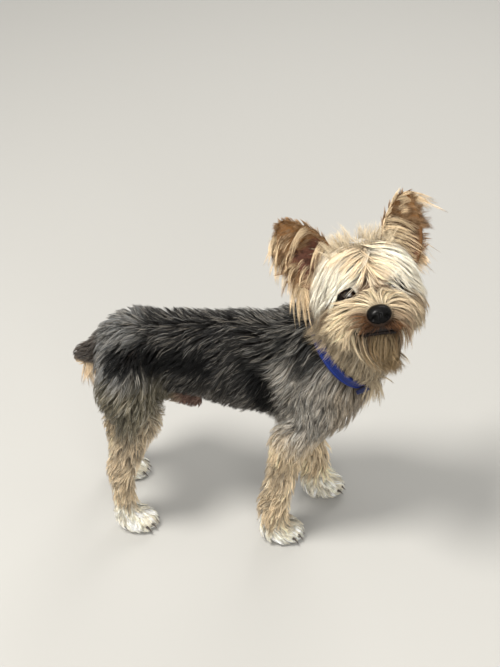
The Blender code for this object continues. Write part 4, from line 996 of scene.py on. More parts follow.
wisps = {
    # a patch of roots round a centre, across a spread; the hair fans out from the middle and bends as it hangs
    "tailTuft": {"onHead": False, "hairs": 560, "inTuft": 9, "seed": 41, "centre": (-0.121, 0.0, 0.165),
                 "spread": (0.009, 0.008, 0.006), "rise": 0.0, "way": (-0.34, 0.0, -0.82), "stray": 0.16,
                 "fan": 18.0, "bend": (0.10, 0.0, -0.50), "droop": 0.0, "length": 0.018, "width": 0.00046,
                 "tone": "apricot"},
    "crest": {"onHead": True, "hairs": 820, "inTuft": 5, "seed": 33, "centre": (0.000, 0.0, 0.030),
              "spread": (0.013, 0.025, 0.0), "rise": 0.3, "way": (-0.10, 0.0, 1.0), "stray": 0.34,
              "fan": 16.0, "bend": (-0.1, 0.0, -0.15), "droop": 11.0, "length": 0.017, "width": 0.00027,
              "tone": "crest"},
    "throat": {"onHead": False, "hairs": 320, "inTuft": 8, "seed": 35, "centre": (0.0, 0.0, 0.0),
               "spread": (0.004, 0.010, 0.003), "rise": 0.3, "way": (0.30, -0.35, -0.60), "stray": 0.22,
               "fan": 10.0, "bend": (-0.3, 0.10, -0.50), "droop": 0.0, "length": 0.020, "width": 0.00042,
               "tone": "throat"},
}


def sprays(roots, owner, ways, bends, lengths, rings, gather):
    # Hairs that leave their roots freely: straight at first, then bent, gathered towards the middle of their tuft.
    shares = np.linspace(0.0, 1.0, rings + 1)
    hairs = roots[:, None] + (unit(ways)[:, None] * shares[None, :, None]
                              + bends[:, None] * (shares ** 2)[None, :, None]) * lengths[:, None, None]
    many = owner.max() + 1
    middle = np.zeros((many, rings + 1, 3))
    np.add.at(middle, owner, hairs)
    middle /= np.maximum(np.bincount(owner, minlength=many), 1)[:, None, None]
    return hairs + (middle[owner] - hairs) * (gather * shares ** 0.9)[None, :, None]


def buildEarCoat(side, material):
    draw = np.random.default_rng(31 if side == "right" else 32)
    _, up, across, facing = earAxes(side)
    axes = np.array((across, up, facing))
    found = {2: [], 5: []}
    plans = dict(earCoat, **farEarCoat) if side == "left" else earCoat
    for rings, count, inTuft, turnLow, turnHigh, low, high, face, way, bend, length, width, gather, colour \
            in plans.values():
        tufts = max(1, count // inTuft)
        tuftTurn, tuftShare = draw.uniform(turnLow, turnHigh, tufts), draw.uniform(low, high, tufts)
        owner = draw.integers(0, tufts, count)
        turn = np.clip(tuftTurn[owner] + draw.normal(0.0, 0.06, count), -1.0, 1.0)
        share = np.clip(tuftShare[owner] + draw.normal(0.0, 0.022, count), 0.0, 1.0)
        roots = onEar(side, turn, share, 0.40 * earLook["thick"] * face * (1.0 - 0.6 * turn * turn))
        tuftWay = np.array(way) + draw.normal(0.0, 0.13, (tufts, 3))
        tuftWay[:, 0] += 0.45 * tuftTurn * (face < 0)
        local = tuftWay[owner] + draw.normal(0.0, 0.05, (count, 3))
        half, cup = earSection(side, share)
        local[:, 2] += np.clip(2.0 * cup * turn / half, -1.5, 1.5) * local[:, 0] * (rings == 2)
        ways = local @ axes
        bends = (np.array(bend) + draw.normal(0.0, 0.10, (tufts, 3)))[owner] @ axes
        lengths = length * draw.uniform(0.7, 1.15, tufts)[owner] * draw.uniform(0.75, 1.1, count)
        lengths *= 1.0 - 0.50 * smooth(share, 0.60, 1.0) * (rings == 2)
        shade = draw.normal(1.0, 0.15, (count, 1)) * draw.normal(1.0, 0.14, (tufts, 1))[owner]
        base = tone(colour) + (0.28 * draw.random((count, 1)) * (tone("earFringe") - tone("earBack"))
                               if colour == "earBack" else 0.0)
        found[rings].append((sprays(roots, owner, ways, bends, lengths, rings, gather),
                             width * draw.uniform(0.75, 1.25, count), np.clip(base * np.clip(shade, 0.6, 1.4), 0.004, 0.95),
                             np.stack([0.25 * (1.0 + turn * 0.9) + 0.5 * (face < 0), 0.04 + 0.92 * share], axis=1)))
    for rings, parts in found.items():
        hairs, widths, colours, spots = (np.concatenate(column) for column in zip(*parts))
        clear, hairs = clearOfFeatures(hairs, draw)
        print("ear", side, "coat:", clear.sum(), "hairs of", rings, "rings")
        hairMesh("ear%sCoat%d" % (side.capitalize(), rings), hairs[clear], widths[clear], colours[clear],
                 spots[clear], material)


def buildWisps(name, look, material):
    draw = np.random.default_rng(look["seed"])
    count, tufts = look["hairs"], look["hairs"] // look["inTuft"]
    turn = headTurn if look["onHead"] else np.eye(3)
    origin = np.array(headPose["centre"]) if look["onHead"] else np.zeros(3)
    owner = draw.integers(0, tufts, count)
    offset = draw.uniform(-1.0, 1.0, (tufts, 3)) * look["spread"]
    middle = origin + (np.array(look["centre"]) + offset) @ turn.T
    roots = flesh.settle(middle[owner] + draw.normal(0.0, 0.0014, (count, 3)), skinReach + look["rise"], rounds=6)
    ways = np.array(look["way"]) + draw.normal(0.0, look["stray"], (tufts, 3))
    ways[:, 1] += look["fan"] * offset[:, 1]
    bends = np.array(look["bend"]) + draw.normal(0.0, 0.12, (tufts, 3))
    bends[:, 1] += look["droop"] * offset[:, 1]
    lengths = look["length"] * draw.uniform(0.6, 1.15, tufts)[owner] * draw.uniform(0.7, 1.1, count)
    hairs = sprays(roots, owner, (ways @ turn.T)[owner], (bends @ turn.T)[owner], lengths, 4, 0.6)
    shade = np.clip(draw.normal(1.0, 0.15, (count, 1)), 0.6, 1.35)
    hairMesh(name, hairs, look["width"] * draw.uniform(0.75, 1.25, count), tone(look["tone"]) * shade,
             unwrapped(roots, flesh.measure(roots)[3]), material)


# Eyes, nose and claws

def buildEye(side, material):
    radius = eyeLook["radius"]
    shape = bmesh.new()
    bmesh.ops.create_uvsphere(shape, u_segments=48, v_segments=40, radius=1.0)
    axis = unit(alongHead(1.0, 0.16 * sides[side], 0.02))
    turn = Vector((0.0, 0.0, 1.0)).rotation_difference(Vector(axis)).to_matrix()
    points = np.array([vert.co for vert in shape.verts])
    angle = np.arccos(np.clip(points[:, 2], -1.0, 1.0))
    bulge = 1.0 + 0.045 * (1.0 - smooth(angle, 0.35, 0.75))
    centre = eyeCentre(side) + dogShift
    for vert, point, swell in zip(shape.verts, points, bulge):
        vert.co = Vector(centre) + turn @ Vector(point) * (radius * swell)
    eye = fromShape("eye" + side.capitalize(), shape)
    eye.data.shade_smooth()
    giveValue(eye.data, "gaze", angle)
    eye.data.materials.append(material)
    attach(eye, "root")
    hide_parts("eye_" + side)


noseLook = {"size": (0.0074, 0.0092, 0.0072), "nostril": (0.0058, 0.0044, -0.0008), "pit": 0.0026, "groove": 0.0011}


def buildNose(material):
    shape = bmesh.new()
    bmesh.ops.create_uvsphere(shape, u_segments=96, v_segments=64, radius=1.0)
    points = np.array([vert.co for vert in shape.verts])
    points[:, 1] *= 1.0 - 0.25 * np.where(points[:, 2] < 0.0, points[:, 2], 0.0) ** 2
    points = np.sign(points) * np.abs(points) ** 0.90 * np.array(noseLook["size"])
    front = smooth(points[:, 0], 0.0, 0.004)
    wide = np.abs(points[:, 1])
    groove = noseLook["groove"] * np.exp(-(wide / 0.0010) ** 2) * (1.0 - smooth(points[:, 2], 0.001, 0.004))
    pitAcross = (wide - noseLook["nostril"][1]) / 0.0017
    pitUp = (points[:, 2] - noseLook["nostril"][2] + 0.25 * (wide - noseLook["nostril"][1])) / 0.0022
    pit = noseLook["pit"] * np.exp(-(pitAcross ** 2 + pitUp ** 2) ** 1.4)
    slit = 0.0016 * np.exp(-((wide - 0.0074) / 0.0022) ** 2 - ((points[:, 2] + 0.0022) / 0.0009) ** 2)
    wing = 0.0007 * np.exp(-((wide - 0.0062) / 0.0022) ** 2 - ((points[:, 2] - 0.0022) / 0.0020) ** 2)
    points[:, 0] -= front * (groove + pit + slit - wing)
    for vert, point in zip(shape.verts, points):
        vert.co = onHead(*(np.array(places["nose"]) + point)) + dogShift
    bmesh.ops.recalc_face_normals(shape, faces=shape.faces)
    nose = fromShape("nose", shape)
    nose.name = "nosePad"
    nose.data.shade_smooth()
    nose.data.materials.append(material)
    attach(nose, "root")
    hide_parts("nose")


clawLook = {"offsets": (-0.0085, -0.0030, 0.0030, 0.0085), "radius": 0.0016, "length": 0.0065, "fall": 0.0045,
            "rings": 9, "sides": 12}


def clawPlaces():
    for kind in ("fore", "hind"):
        for side in sides:
            foot = onSide(places[kind + side.capitalize()][2], side)
            turn = -0.20 if side == "right" else 0.10
            ahead = np.array((math.cos(turn), math.sin(turn), 0.0))
            across = np.array((-ahead[1], ahead[0], 0.0))
            for number, offset in enumerate(clawLook["offsets"], start=1):
                root = foot + ahead * (0.0135 - 40.0 * offset * offset) + across * offset - (0.0, 0.0, 0.0005)
                yield "claw_%s_%s_%d" % (kind, side, number), root, ahead, across, offset


def buildClaws(material):
    points, triangles, along, names = [], [], [], []
    rings, many = clawLook["rings"], clawLook["sides"]
    up = np.array((0.0, 0.0, 1.0))
    for name, root, ahead, across, offset in clawPlaces():
        names.append(name)
        start = len(points)
        for ring in range(rings):
            share = ring / rings
            middle = root + ahead * (clawLook["length"] * share) + across * (0.15 * offset * share) \
                + up * (0.0024 * math.sin(math.pi * share) * (1.0 - 0.5 * share) - clawLook["fall"] * share)
            radius = clawLook["radius"] * (1.0 - share ** 1.8) * (0.92 if ring else 0.6)
            for k in range(many):
                angle = 2 * math.pi * k / many
                points.append(middle + (across * 0.80 * math.cos(angle) + up * math.sin(angle)) * radius)
                along.append(share)
        points += [root + ahead * clawLook["length"] + across * 0.15 * offset - up * clawLook["fall"], root]
        along += [1.0, 0.0]
        tip, back = start + rings * many, start + rings * many + 1
        for k in range(many):
            j = (k + 1) % many
            for ring in range(rings - 1):
                a, b = start + ring * many + k, start + ring * many + j
                triangles += [(a, b, b + many), (a, b + many, a + many)]
            last = start + (rings - 1) * many
            triangles += [(last + k, last + j, tip), (start + j, start + k, back)]
    points = np.array(points)
    points[:, 2] = np.maximum(points[:, 2], 0.0003)
    claws = fromArrays("claws", points + dogShift, np.array(triangles))
    giveValue(claws.data, "along", np.array(along))
    claws.data.materials.append(material)
    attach(claws, "root")
    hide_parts(*names)


# Collar: a woven band with sewn edges, a clasp and a ring

collarLook = {"centre": (0.092, -0.010, 0.204), "axis": (0.75, -0.10, 0.60), "width": 0.0092, "thick": 0.0018,
              "reach": 0.60, "points": 36, "clasp": 30, "ringPlace": 9, "stitchGap": 0.0022, "stitchLength": 0.0015}


def collarRing(count=36):
    centre, axis = np.array(collarLook["centre"]), unit(np.array(collarLook["axis"]))
    side = unit(np.cross(axis, (0.0, 0.0, 1.0)))
    rise = np.cross(side, axis)
    angles = np.arange(collarLook["points"]) * 2 * math.pi / collarLook["points"]
    spokes = np.outer(np.cos(angles), side) + np.outer(np.sin(angles), rise)
    radii = np.full(len(angles), 0.030)
    for _ in range(14):
        distance, _, hair, _ = flesh.measure(centre + spokes * radii[:, None])
        radii -= 0.8 * (distance - collarLook["reach"] * hair[:, 0])
    waves = np.fft.rfft(radii)
    waves[3:] = 0.0
    full = np.zeros(count // 2 + 1, dtype=complex)
    full[:3] = waves[:3] * (count / collarLook["points"])
    radii = np.fft.irfft(full, count)
    angles = np.arange(count) * 2 * math.pi / count
    spokes = np.outer(np.cos(angles), side) + np.outer(np.sin(angles), rise)
    return centre + spokes * radii[:, None] + dogShift, spokes, axis


def buildBand(material):
    count = 216
    ring, spokes, axis = collarRing(count)
    half, thick = 0.5 * collarLook["width"], collarLook["thick"]
    section = [(0.0, -half + 0.0004), (0.0, half - 0.0004), (0.0004, half), (thick - 0.0004, half),
               (thick, half - 0.0004), (thick, half - 0.0012), (thick - 0.00025, half - 0.0016),
               (thick - 0.00025, -half + 0.0016), (thick, -half + 0.0012), (thick, -half + 0.0004),
               (thick - 0.0004, -half), (0.0004, -half)]
    many = len(section)
    points = np.stack([ring + spokes * depth + axis * height for depth, height in section], axis=1).reshape(-1, 3)
    triangles = []
    for i in range(count):
        for k in range(many):
            a, b = i * many + k, i * many + (k + 1) % many
            c, d = (i + 1) % count * many + (k + 1) % many, (i + 1) % count * many + k
            triangles += [(a, b, c), (a, c, d)]
    band = fromArrays("collarBand", points, np.array(triangles))
    shape = bmesh.new()
    shape.from_mesh(band.data)
    bmesh.ops.recalc_face_normals(shape, faces=shape.faces)
    uv = shape.loops.layers.uv.new("weave")
    around = 0.196
    for face in shape.faces:
        turns = [loop.vert.index // many for loop in face.loops]
        wraps = max(turns) - min(turns) > count // 2
        for loop, turn in zip(face.loops, turns):
            turn = turn + count if wraps and turn < count // 2 else turn
            loop[uv].uv = (turn / count * around, section[loop.vert.index % many][1])
    shape.to_mesh(band.data)
    shape.free()
    band.data.materials.append(material)
    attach(band, "root")
    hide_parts("collar")


def stitchTree(material):
    # Geometry nodes: short threads at an even gap along a curve.
    tree = bpy.data.node_groups.new("stitches", "GeometryNodeTree")
    for name, kind in (("Path", "NodeSocketGeometry"), ("Gap", "NodeSocketFloat"), ("Length", "NodeSocketFloat"),
                       ("Thickness", "NodeSocketFloat")):
        tree.interface.new_socket(name, in_out="INPUT", socket_type=kind)
    tree.interface.new_socket("Threads", in_out="OUTPUT", socket_type="NodeSocketGeometry")
    nodes, links = tree.nodes, tree.links
    start, end = nodes.new("NodeGroupInput"), nodes.new("NodeGroupOutput")
    spread = nodes.new("GeometryNodeCurveToPoints")
    spread.mode = "LENGTH"
    thread = nodes.new("GeometryNodeMeshCylinder")
    thread.inputs["Vertices"].default_value = 6
    lay = nodes.new("GeometryNodeInstanceOnPoints")
    solid, paint = nodes.new("GeometryNodeRealizeInstances"), nodes.new("GeometryNodeSetMaterial")
    paint.inputs["Material"].default_value = material
    links.new(start.outputs["Path"], spread.inputs["Curve"])
    links.new(start.outputs["Gap"], spread.inputs["Length"])
    links.new(start.outputs["Length"], thread.inputs["Depth"])
    links.new(start.outputs["Thickness"], thread.inputs["Radius"])
    links.new(spread.outputs["Points"], lay.inputs["Points"])
    links.new(spread.outputs["Rotation"], lay.inputs["Rotation"])
    links.new(thread.outputs["Mesh"], lay.inputs["Instance"])
    links.new(lay.outputs["Instances"], solid.inputs["Geometry"])
    links.new(solid.outputs["Geometry"], paint.inputs["Geometry"])
    links.new(paint.outputs["Geometry"], end.inputs["Threads"])
    return tree


def setInput(modifier, name, value):
    for socket in modifier.node_group.interface.items_tree:
        if socket.name == name and socket.in_out == "INPUT":
            modifier[socket.identifier] = value


def buildStitches(material):
    ring, spokes, axis = collarRing(144)
    curve = bpy.data.curves.new("seams", "CURVE")
    curve.dimensions = "3D"
    for side in (-1.0, 1.0):
        path = ring + spokes * (collarLook["thick"] + 0.00005) + axis * (side * (0.5 * collarLook["width"] - 0.0021))
        line = curve.splines.new("POLY")
        line.points.add(len(path) - 1)
        line.use_cyclic_u = True
        for point, place in zip(line.points, path):
            point.co = (*place, 1.0)
    seams = newObject("seams", curve)
    sew = seams.modifiers.new("stitches", "NODES")
    sew.node_group = stitchTree(material)
    setInput(sew, "Gap", collarLook["stitchGap"])
    setInput(sew, "Length", collarLook["stitchLength"])
    setInput(sew, "Thickness", 0.00017)
    graph = bpy.context.evaluated_depsgraph_get()
    mesh = bpy.data.meshes.new_from_object(seams.evaluated_get(graph))
    bpy.data.objects.remove(seams, do_unlink=True)
    stitches = newObject("collarStitches", mesh)
    mesh.shade_smooth()
    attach(stitches, "root")


def placeAt(shape, centre, across, along, out):
    turn = Matrix((across, along, out)).transposed().to_4x4()
    bmesh.ops.transform(shape, matrix=Matrix.Translation(centre) @ turn, verts=shape.verts)


def buildClasp(material):
    # A side-release clasp: a body, two spring prongs and the loops that hold the band.
    ring, spokes, axis = collarRing(collarLook["points"])
    place = collarLook["clasp"]
    spoke = Vector(spokes[place])
    along = Vector(ring[place + 1] - ring[place - 1]).normalized()
    spoke = (spoke - along * spoke.dot(along)).normalized()
    centre = Vector(ring[place]) + spoke * (collarLook["thick"] + 0.0003 + 0.0024)
    shape = bmesh.new()
    for middle, size in (((0.0020, 0.0, 0.0), (0.0100, 0.0120, 0.0036)), ((-0.0052, 0.0, 0.0), (0.0040, 0.0116, 0.0030)),
                         ((-0.0022, 0.0054, 0.0), (0.0060, 0.0016, 0.0026)), ((-0.0022, -0.0054, 0.0), (0.0060, 0.0016, 0.0026)),
                         ((0.0020, 0.0, 0.0016), (0.0058, 0.0070, 0.0010))):
        made = bmesh.ops.create_cube(shape, size=1.0)["verts"]
        bmesh.ops.transform(shape, matrix=Matrix.Translation(middle) @ Matrix.Diagonal((*size, 1.0)), verts=made)
    placeAt(shape, centre, along, Vector(axis), spoke)
    clasp = fromShape("claspBody", shape)
    soften = clasp.modifiers.new("soften", "BEVEL")
    soften.width = 0.0006
    soften.segments = 3
    baked(clasp)
    clasp.data.shade_smooth()
    clasp.data.materials.append(material)
    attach(clasp, "root")
    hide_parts("collar_buckle")


def buildRing(material):
    # A small wire ring at the nape, sewn to the band.
    ring, spokes, axis = collarRing(collarLook["points"])
    place = collarLook["ringPlace"]
    spoke = Vector(spokes[place])
    along = Vector(ring[place + 1] - ring[place - 1]).normalized()
    spoke = (spoke - along * spoke.dot(along)).normalized()
    centre = Vector(ring[place]) + spoke * (collarLook["thick"] + 0.0030)
    points, triangles = [], []
    turns, many = 40, 10
    for i in range(turns):
        angle = 2 * math.pi * i / turns
        middle = centre + Vector(axis) * (0.0048 * math.cos(angle)) + spoke * (0.0040 * math.sin(angle))
        out = (middle - centre).normalized()
        for k in range(many):
            bend = 2 * math.pi * k / many
            points.append(middle + (out * math.cos(bend) + along * math.sin(bend)) * 0.0007)
            a, b = i * many + k, i * many + (k + 1) % many
            c, d = (i + 1) % turns * many + (k + 1) % many, (i + 1) % turns * many + k
            triangles += [(a, b, c), (a, c, d)]
    wire = fromArrays("collarRing", np.array(points), np.array(triangles))
    shape = bmesh.new()
    shape.from_mesh(wire.data)
    bmesh.ops.recalc_face_normals(shape, faces=shape.faces)
    shape.to_mesh(wire.data)
    shape.free()
    wire.data.materials.append(material)
    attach(wire, "root")


# Materials

def newMaterial(name):
    material = bpy.data.materials.new(name)
    material.use_nodes = True
    return material, material.node_tree.nodes, material.node_tree.links


def hairShadeGroup():
    # Darkens a hair at its root, painted shade deep in the coat between tufts, and lightens it towards the tip.
    tree = bpy.data.node_groups.new("hairShade", "ShaderNodeTree")
    for name, kind in (("Colour", "NodeSocketColor"), ("Along", "NodeSocketFloat"), ("Root Shade", "NodeSocketFloat"),
                       ("Tip Light", "NodeSocketFloat")):
        tree.interface.new_socket(name, in_out="INPUT", socket_type=kind)
    tree.interface.new_socket("Colour", in_out="OUTPUT", socket_type="NodeSocketColor")
    nodes, links = tree.nodes, tree.links
    start, end = nodes.new("NodeGroupInput"), nodes.new("NodeGroupOutput")
    ramp = nodes.new("ShaderNodeMapRange")
    links.new(start.outputs["Along"], ramp.inputs["Value"])
    links.new(start.outputs["Root Shade"], ramp.inputs["To Min"])
    links.new(start.outputs["Tip Light"], ramp.inputs["To Max"])
    scale = nodes.new("ShaderNodeVectorMath")
    scale.operation = "SCALE"
    links.new(start.outputs["Colour"], scale.inputs[0])
    links.new(ramp.outputs["Result"], scale.inputs["Scale"])
    links.new(scale.outputs["Vector"], end.inputs["Colour"])
    return tree


def attribute(nodes, name):
    node = nodes.new("ShaderNodeAttribute")
    node.attribute_name = name
    return node


def coatMaterial(name, tree, rootShade, tipLight, roughness, gloss):
    material, nodes, links = newMaterial(name)
    skin = nodes["Principled BSDF"]
    shade = nodes.new("ShaderNodeGroup")
    shade.node_tree = tree
    shade.inputs["Root Shade"].default_value = rootShade
    shade.inputs["Tip Light"].default_value = tipLight
    links.new(attribute(nodes, "coatColour").outputs["Color"], shade.inputs["Colour"])
    links.new(attribute(nodes, "along").outputs["Fac"], shade.inputs["Along"])
    links.new(shade.outputs["Colour"], skin.inputs["Base Color"])
    skin.inputs["Roughness"].default_value = roughness
    skin.inputs["Specular IOR Level"].default_value = gloss
    return material


def skinMaterial():
    material, nodes, links = newMaterial("skin")
    skin = nodes["Principled BSDF"]
    links.new(attribute(nodes, "coatColour").outputs["Color"], skin.inputs["Base Color"])
    place = nodes.new("ShaderNodeTexCoord")
    grain = nodes.new("ShaderNodeTexNoise")
    grain.inputs["Scale"].default_value = 900.0
    grain.inputs["Detail"].default_value = 3.0
    bump = nodes.new("ShaderNodeBump")
    bump.inputs["Strength"].default_value = 0.35
    bump.inputs["Distance"].default_value = 0.0004
    links.new(place.outputs["Object"], grain.inputs["Vector"])
    links.new(grain.outputs["Fac"], bump.inputs["Height"])
    links.new(bump.outputs["Normal"], skin.inputs["Normal"])
    skin.inputs["Roughness"].default_value = 0.66
    skin.inputs["Specular IOR Level"].default_value = 0.15
    return material


def eyeMaterial():
    material, nodes, links = newMaterial("eye")
    skin = nodes["Principled BSDF"]
    ramp = nodes.new("ShaderNodeValToRGB")
    stops = ((0.0, (0.002, 0.002, 0.002)), (eyeLook["pupil"] / math.pi, (0.002, 0.002, 0.002)),
             (eyeLook["pupil"] / math.pi + 0.01, (0.014, 0.006, 0.003)), (0.17, (0.022, 0.010, 0.004)),
             (eyeLook["iris"] / math.pi, (0.006, 0.003, 0.002)), (0.26, (0.05, 0.035, 0.030)))
    while len(ramp.color_ramp.elements) < len(stops):
        ramp.color_ramp.elements.new(0.5)
    for element, (place, colour) in zip(ramp.color_ramp.elements, stops):
        element.position = place
        element.color = (*colour, 1.0)
    scale = nodes.new("ShaderNodeMath")
    scale.operation = "DIVIDE"
    scale.inputs[1].default_value = math.pi
    links.new(attribute(nodes, "gaze").outputs["Fac"], scale.inputs[0])
    links.new(scale.outputs["Value"], ramp.inputs["Fac"])
    links.new(ramp.outputs["Color"], skin.inputs["Base Color"])
    skin.inputs["Roughness"].default_value = 0.12
    skin.inputs["Coat Weight"].default_value = 1.0
    skin.inputs["Coat Roughness"].default_value = 0.03
    return material


def leatherMaterial(name, colour, roughness, cells, height):
    # Wet, pebbled skin, as on the nose.
    material, nodes, links = newMaterial(name)
    skin = nodes["Principled BSDF"]
    place = nodes.new("ShaderNodeTexCoord")
    pebble = nodes.new("ShaderNodeTexVoronoi")
    pebble.feature = "SMOOTH_F1"
    pebble.inputs["Scale"].default_value = cells
    bump = nodes.new("ShaderNodeBump")
    bump.invert = True
    bump.inputs["Strength"].default_value = 0.6
    bump.inputs["Distance"].default_value = height
    tint = nodes.new("ShaderNodeMix")
    tint.data_type = "RGBA"
    tint.inputs["A"].default_value = (*(0.5 * value for value in colour), 1.0)
    tint.inputs["B"].default_value = (*(1.6 * value for value in colour), 1.0)
    links.new(place.outputs["Object"], pebble.inputs["Vector"])
    links.new(pebble.outputs["Distance"], bump.inputs["Height"])
    links.new(pebble.outputs["Distance"], tint.inputs["Factor"])
    links.new(tint.outputs["Result"], skin.inputs["Base Color"])
    links.new(bump.outputs["Normal"], skin.inputs["Normal"])
    skin.inputs["Roughness"].default_value = roughness
    skin.inputs["Specular IOR Level"].default_value = 0.05
    skin.inputs["Coat Weight"].default_value = 0.07
    skin.inputs["Coat Roughness"].default_value = 0.12
    return material


def clawMaterial():
    material, nodes, links = newMaterial("claw")
    skin = nodes["Principled BSDF"]
    place = nodes.new("ShaderNodeTexCoord")
    streak = nodes.new("ShaderNodeTexNoise")
    streak.inputs["Scale"].default_value = 1500.0
    mix = nodes.new("ShaderNodeMix")
    mix.data_type = "RGBA"
    mix.inputs["A"].default_value = (0.022, 0.016, 0.013, 1.0)
    mix.inputs["B"].default_value = (0.11, 0.085, 0.065, 1.0)
    both = nodes.new("ShaderNodeMath")
    both.operation = "MULTIPLY"
    links.new(place.outputs["Object"], streak.inputs["Vector"])
    links.new(streak.outputs["Fac"], both.inputs[0])
    links.new(attribute(nodes, "along").outputs["Fac"], both.inputs[1])
    links.new(both.outputs["Value"], mix.inputs["Factor"])
    links.new(mix.outputs["Result"], skin.inputs["Base Color"])
    skin.inputs["Roughness"].default_value = 0.32
    return material


def weaveMaterial():
    # Nylon webbing: ribs that cross, on the band's own map.
    material, nodes, links = newMaterial("webbing")
    skin = nodes["Principled BSDF"]
    place = nodes.new("ShaderNodeUVMap")
    place.uv_map = "weave"
    waves = []
    for direction, scale in (("X", 420.0), ("Y", 300.0)):
        wave = nodes.new("ShaderNodeTexWave")
        wave.bands_direction = direction
        wave.inputs["Scale"].default_value = scale
        wave.inputs["Distortion"].default_value = 0.4
        links.new(place.outputs["UV"], wave.inputs["Vector"])
        waves.append(wave)
    cross = nodes.new("ShaderNodeMath")
    cross.operation = "MULTIPLY"
    links.new(waves[0].outputs["Fac"], cross.inputs[0])
    links.new(waves[1].outputs["Fac"], cross.inputs[1])
    # The webbing is darker where the ribs are low: painted shade in the weave's grooves.
    mix = nodes.new("ShaderNodeMix")
    mix.data_type = "RGBA"
    mix.inputs["A"].default_value = (0.0004, 0.006, 0.050, 1.0)
    mix.inputs["B"].default_value = (0.0007, 0.021, 0.190, 1.0)
    bump = nodes.new("ShaderNodeBump")
    bump.inputs["Strength"].default_value = 0.5
    bump.inputs["Distance"].default_value = 0.0003
    links.new(cross.outputs["Value"], mix.inputs["Factor"])
    links.new(cross.outputs["Value"], bump.inputs["Height"])
    links.new(mix.outputs["Result"], skin.inputs["Base Color"])
    links.new(bump.outputs["Normal"], skin.inputs["Normal"])
    skin.inputs["Roughness"].default_value = 0.34
    skin.inputs["Specular IOR Level"].default_value = 0.20
    return material


def plainMaterial(name, colour, roughness, metallic=0.0):
    # A plain finish with faint wear in its gloss.
    material, nodes, links = newMaterial(name)
    skin = nodes["Principled BSDF"]
    place = nodes.new("ShaderNodeTexCoord")
    scuff = nodes.new("ShaderNodeTexNoise")
    scuff.inputs["Scale"].default_value = 700.0
    spread = nodes.new("ShaderNodeMapRange")
    spread.inputs["To Min"].default_value = roughness - 0.08
    spread.inputs["To Max"].default_value = roughness + 0.10
    links.new(place.outputs["Object"], scuff.inputs["Vector"])
    links.new(scuff.outputs["Fac"], spread.inputs["Value"])
    links.new(spread.outputs["Result"], skin.inputs["Roughness"])
    skin.inputs["Base Color"].default_value = (*colour, 1.0)
    skin.inputs["Metallic"].default_value = metallic
    return material


# Floor, light and camera

viewLook = {"place": (0.094, -0.790, 0.803), "azimuth": 6.0, "elevation": 37.0, "focalPixels": 1200.0,
            "longSide": 667.0, "sensor": 36.0}


def buildStage():
    shape = bmesh.new()
    bmesh.ops.create_grid(shape, x_segments=1, y_segments=1, size=4.0)
    floor = fromShape("floor", shape)
    floor.data.transform(Matrix.Translation((0.0, 0.0, -0.0002)))
    material, nodes, _ = newMaterial("floor")
    nodes["Principled BSDF"].inputs["Base Color"].default_value = (0.33, 0.325, 0.31, 1.0)
    nodes["Principled BSDF"].inputs["Roughness"].default_value = 0.85
    floor.data.materials.append(material)


def addLight(name, place, target, size, power, colour):
    light = bpy.data.lights.new(name, "AREA")
    light.shape = "DISK"
    light.size = size
    light.energy = power
    light.color = colour
    lamp = newObject(name, light)
    lamp.location = place
    lamp.rotation_euler = (Vector(target) - Vector(place)).to_track_quat("-Z", "Y").to_euler()


def buildView():
    world = bpy.data.worlds.new("world")
    bpy.context.scene.world = world
    world.use_nodes = True
    world.node_tree.nodes["Background"].inputs["Color"].default_value = (0.94, 0.93, 0.90, 1.0)
    world.node_tree.nodes["Background"].inputs["Strength"].default_value = 0.85
    bpy.context.scene.view_settings.view_transform = "Standard"
    addLight("keyLight", (-0.55, -0.45, 1.75), (0.02, 0.0, 0.16), 0.50, 48.0, (1.0, 0.97, 0.92))
    addLight("fillLight", (0.35, -1.5, 0.7), (0.03, 0.0, 0.14), 0.9, 17.0, (1.0, 0.98, 0.95))
    addLight("backLight", (0.3, 1.3, 1.2), (0.05, 0.0, 0.2), 0.8, 10.0, (1.0, 0.98, 0.95))
    camera = bpy.data.cameras.new("camera")
    camera.sensor_width = viewLook["sensor"]
    camera.lens = viewLook["focalPixels"] / viewLook["longSide"] * viewLook["sensor"]
    camera.clip_start = 0.01
    eye = newObject("camera", camera)
    eye.location = Vector(viewLook["place"]) + Vector(dogShift)
    eye.rotation_euler = (math.radians(90.0 - viewLook["elevation"]), 0.0, math.radians(viewLook["azimuth"]))
    bpy.context.scene.camera = eye


# The whole dog

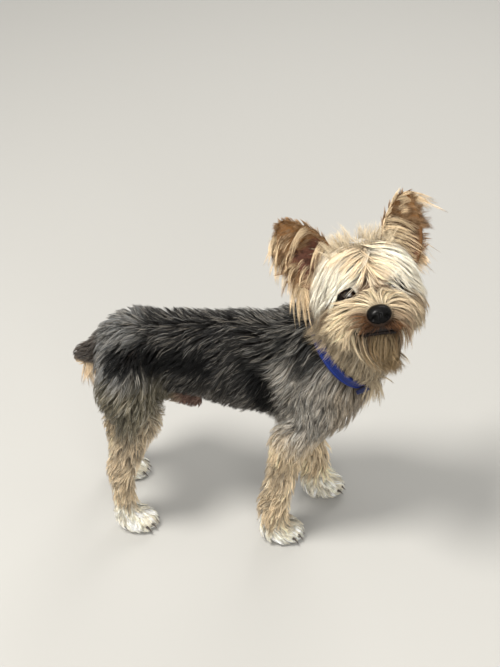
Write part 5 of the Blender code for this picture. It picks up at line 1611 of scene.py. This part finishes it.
def build():
    hairShade = hairShadeGroup()
    # Root Shade darkens each hair near the skin: painted shade inside the coat.
    coatMaterials = {
        "head_coat": coatMaterial("headHair", hairShade, 0.68, 1.10, 0.50, 0.20),
        "neck_coat": coatMaterial("neckHair", hairShade, 0.62, 1.10, 0.50, 0.14),
        "body_coat": coatMaterial("bodyHair", hairShade, 0.60, 1.12, 0.46, 0.12),
        "tail_coat": coatMaterial("tailHair", hairShade, 0.60, 1.10, 0.50, 0.12),
        "leg_coat": coatMaterial("legHair", hairShade, 0.62, 1.12, 0.50, 0.16),
        "ear": coatMaterial("earHair", hairShade, 0.70, 1.12, 0.50, 0.20),
    }
    skin = buildSkin()
    print("skin:", len(skin.data.polygons), "triangles")
    buildCoat(skin, coatMaterials)
    openFace(skin)
    paintSkin(skin)
    skin.data.transform(Matrix.Translation(dogShift))
    skin.data.shade_smooth()
    skin.data.materials.clear()
    skin.data.materials.append(skinMaterial())
    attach(skin, "root")
    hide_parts("head", "neck", "torso", "tail", "foreleg_right", "foreleg_left", "hind_leg_right",
                "hind_leg_left", "ear_right", "ear_left")
    print("skin with lids, mouth and ears:", len(skin.data.polygons), "triangles")
    eye = eyeMaterial()
    for side in sides:
        buildEarCoat(side, coatMaterials["ear"])
        buildEye(side, eye)
    buildWisps("crest", wisps["crest"], coatMaterials["head_coat"])
    buildWisps("tailTuft", wisps["tailTuft"], coatMaterials["tail_coat"])
    clasp = np.mean(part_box("collar_buckle"), axis=0) - dogShift + 0.011 * unit(np.array(collarLook["axis"]))
    buildWisps("throatWisps", dict(wisps["throat"], centre=clasp), coatMaterials["neck_coat"])
    buildNose(leatherMaterial("noseLeather", (0.0022, 0.002, 0.002), 0.46, 1300.0, 0.0003))
    buildClaws(clawMaterial())
    print("ears, eyes, nose and claws are in place")
    buildBand(weaveMaterial())
    buildStitches(plainMaterial("thread", (0.010, 0.040, 0.330), 0.6))
    buildClasp(plainMaterial("claspPlastic", (0.001, 0.006, 0.050), 0.38))
    buildRing(plainMaterial("ringSteel", (0.30, 0.30, 0.31), 0.35, 1.0))
    print("collar is in place")
    buildStage()
    buildView()


build()
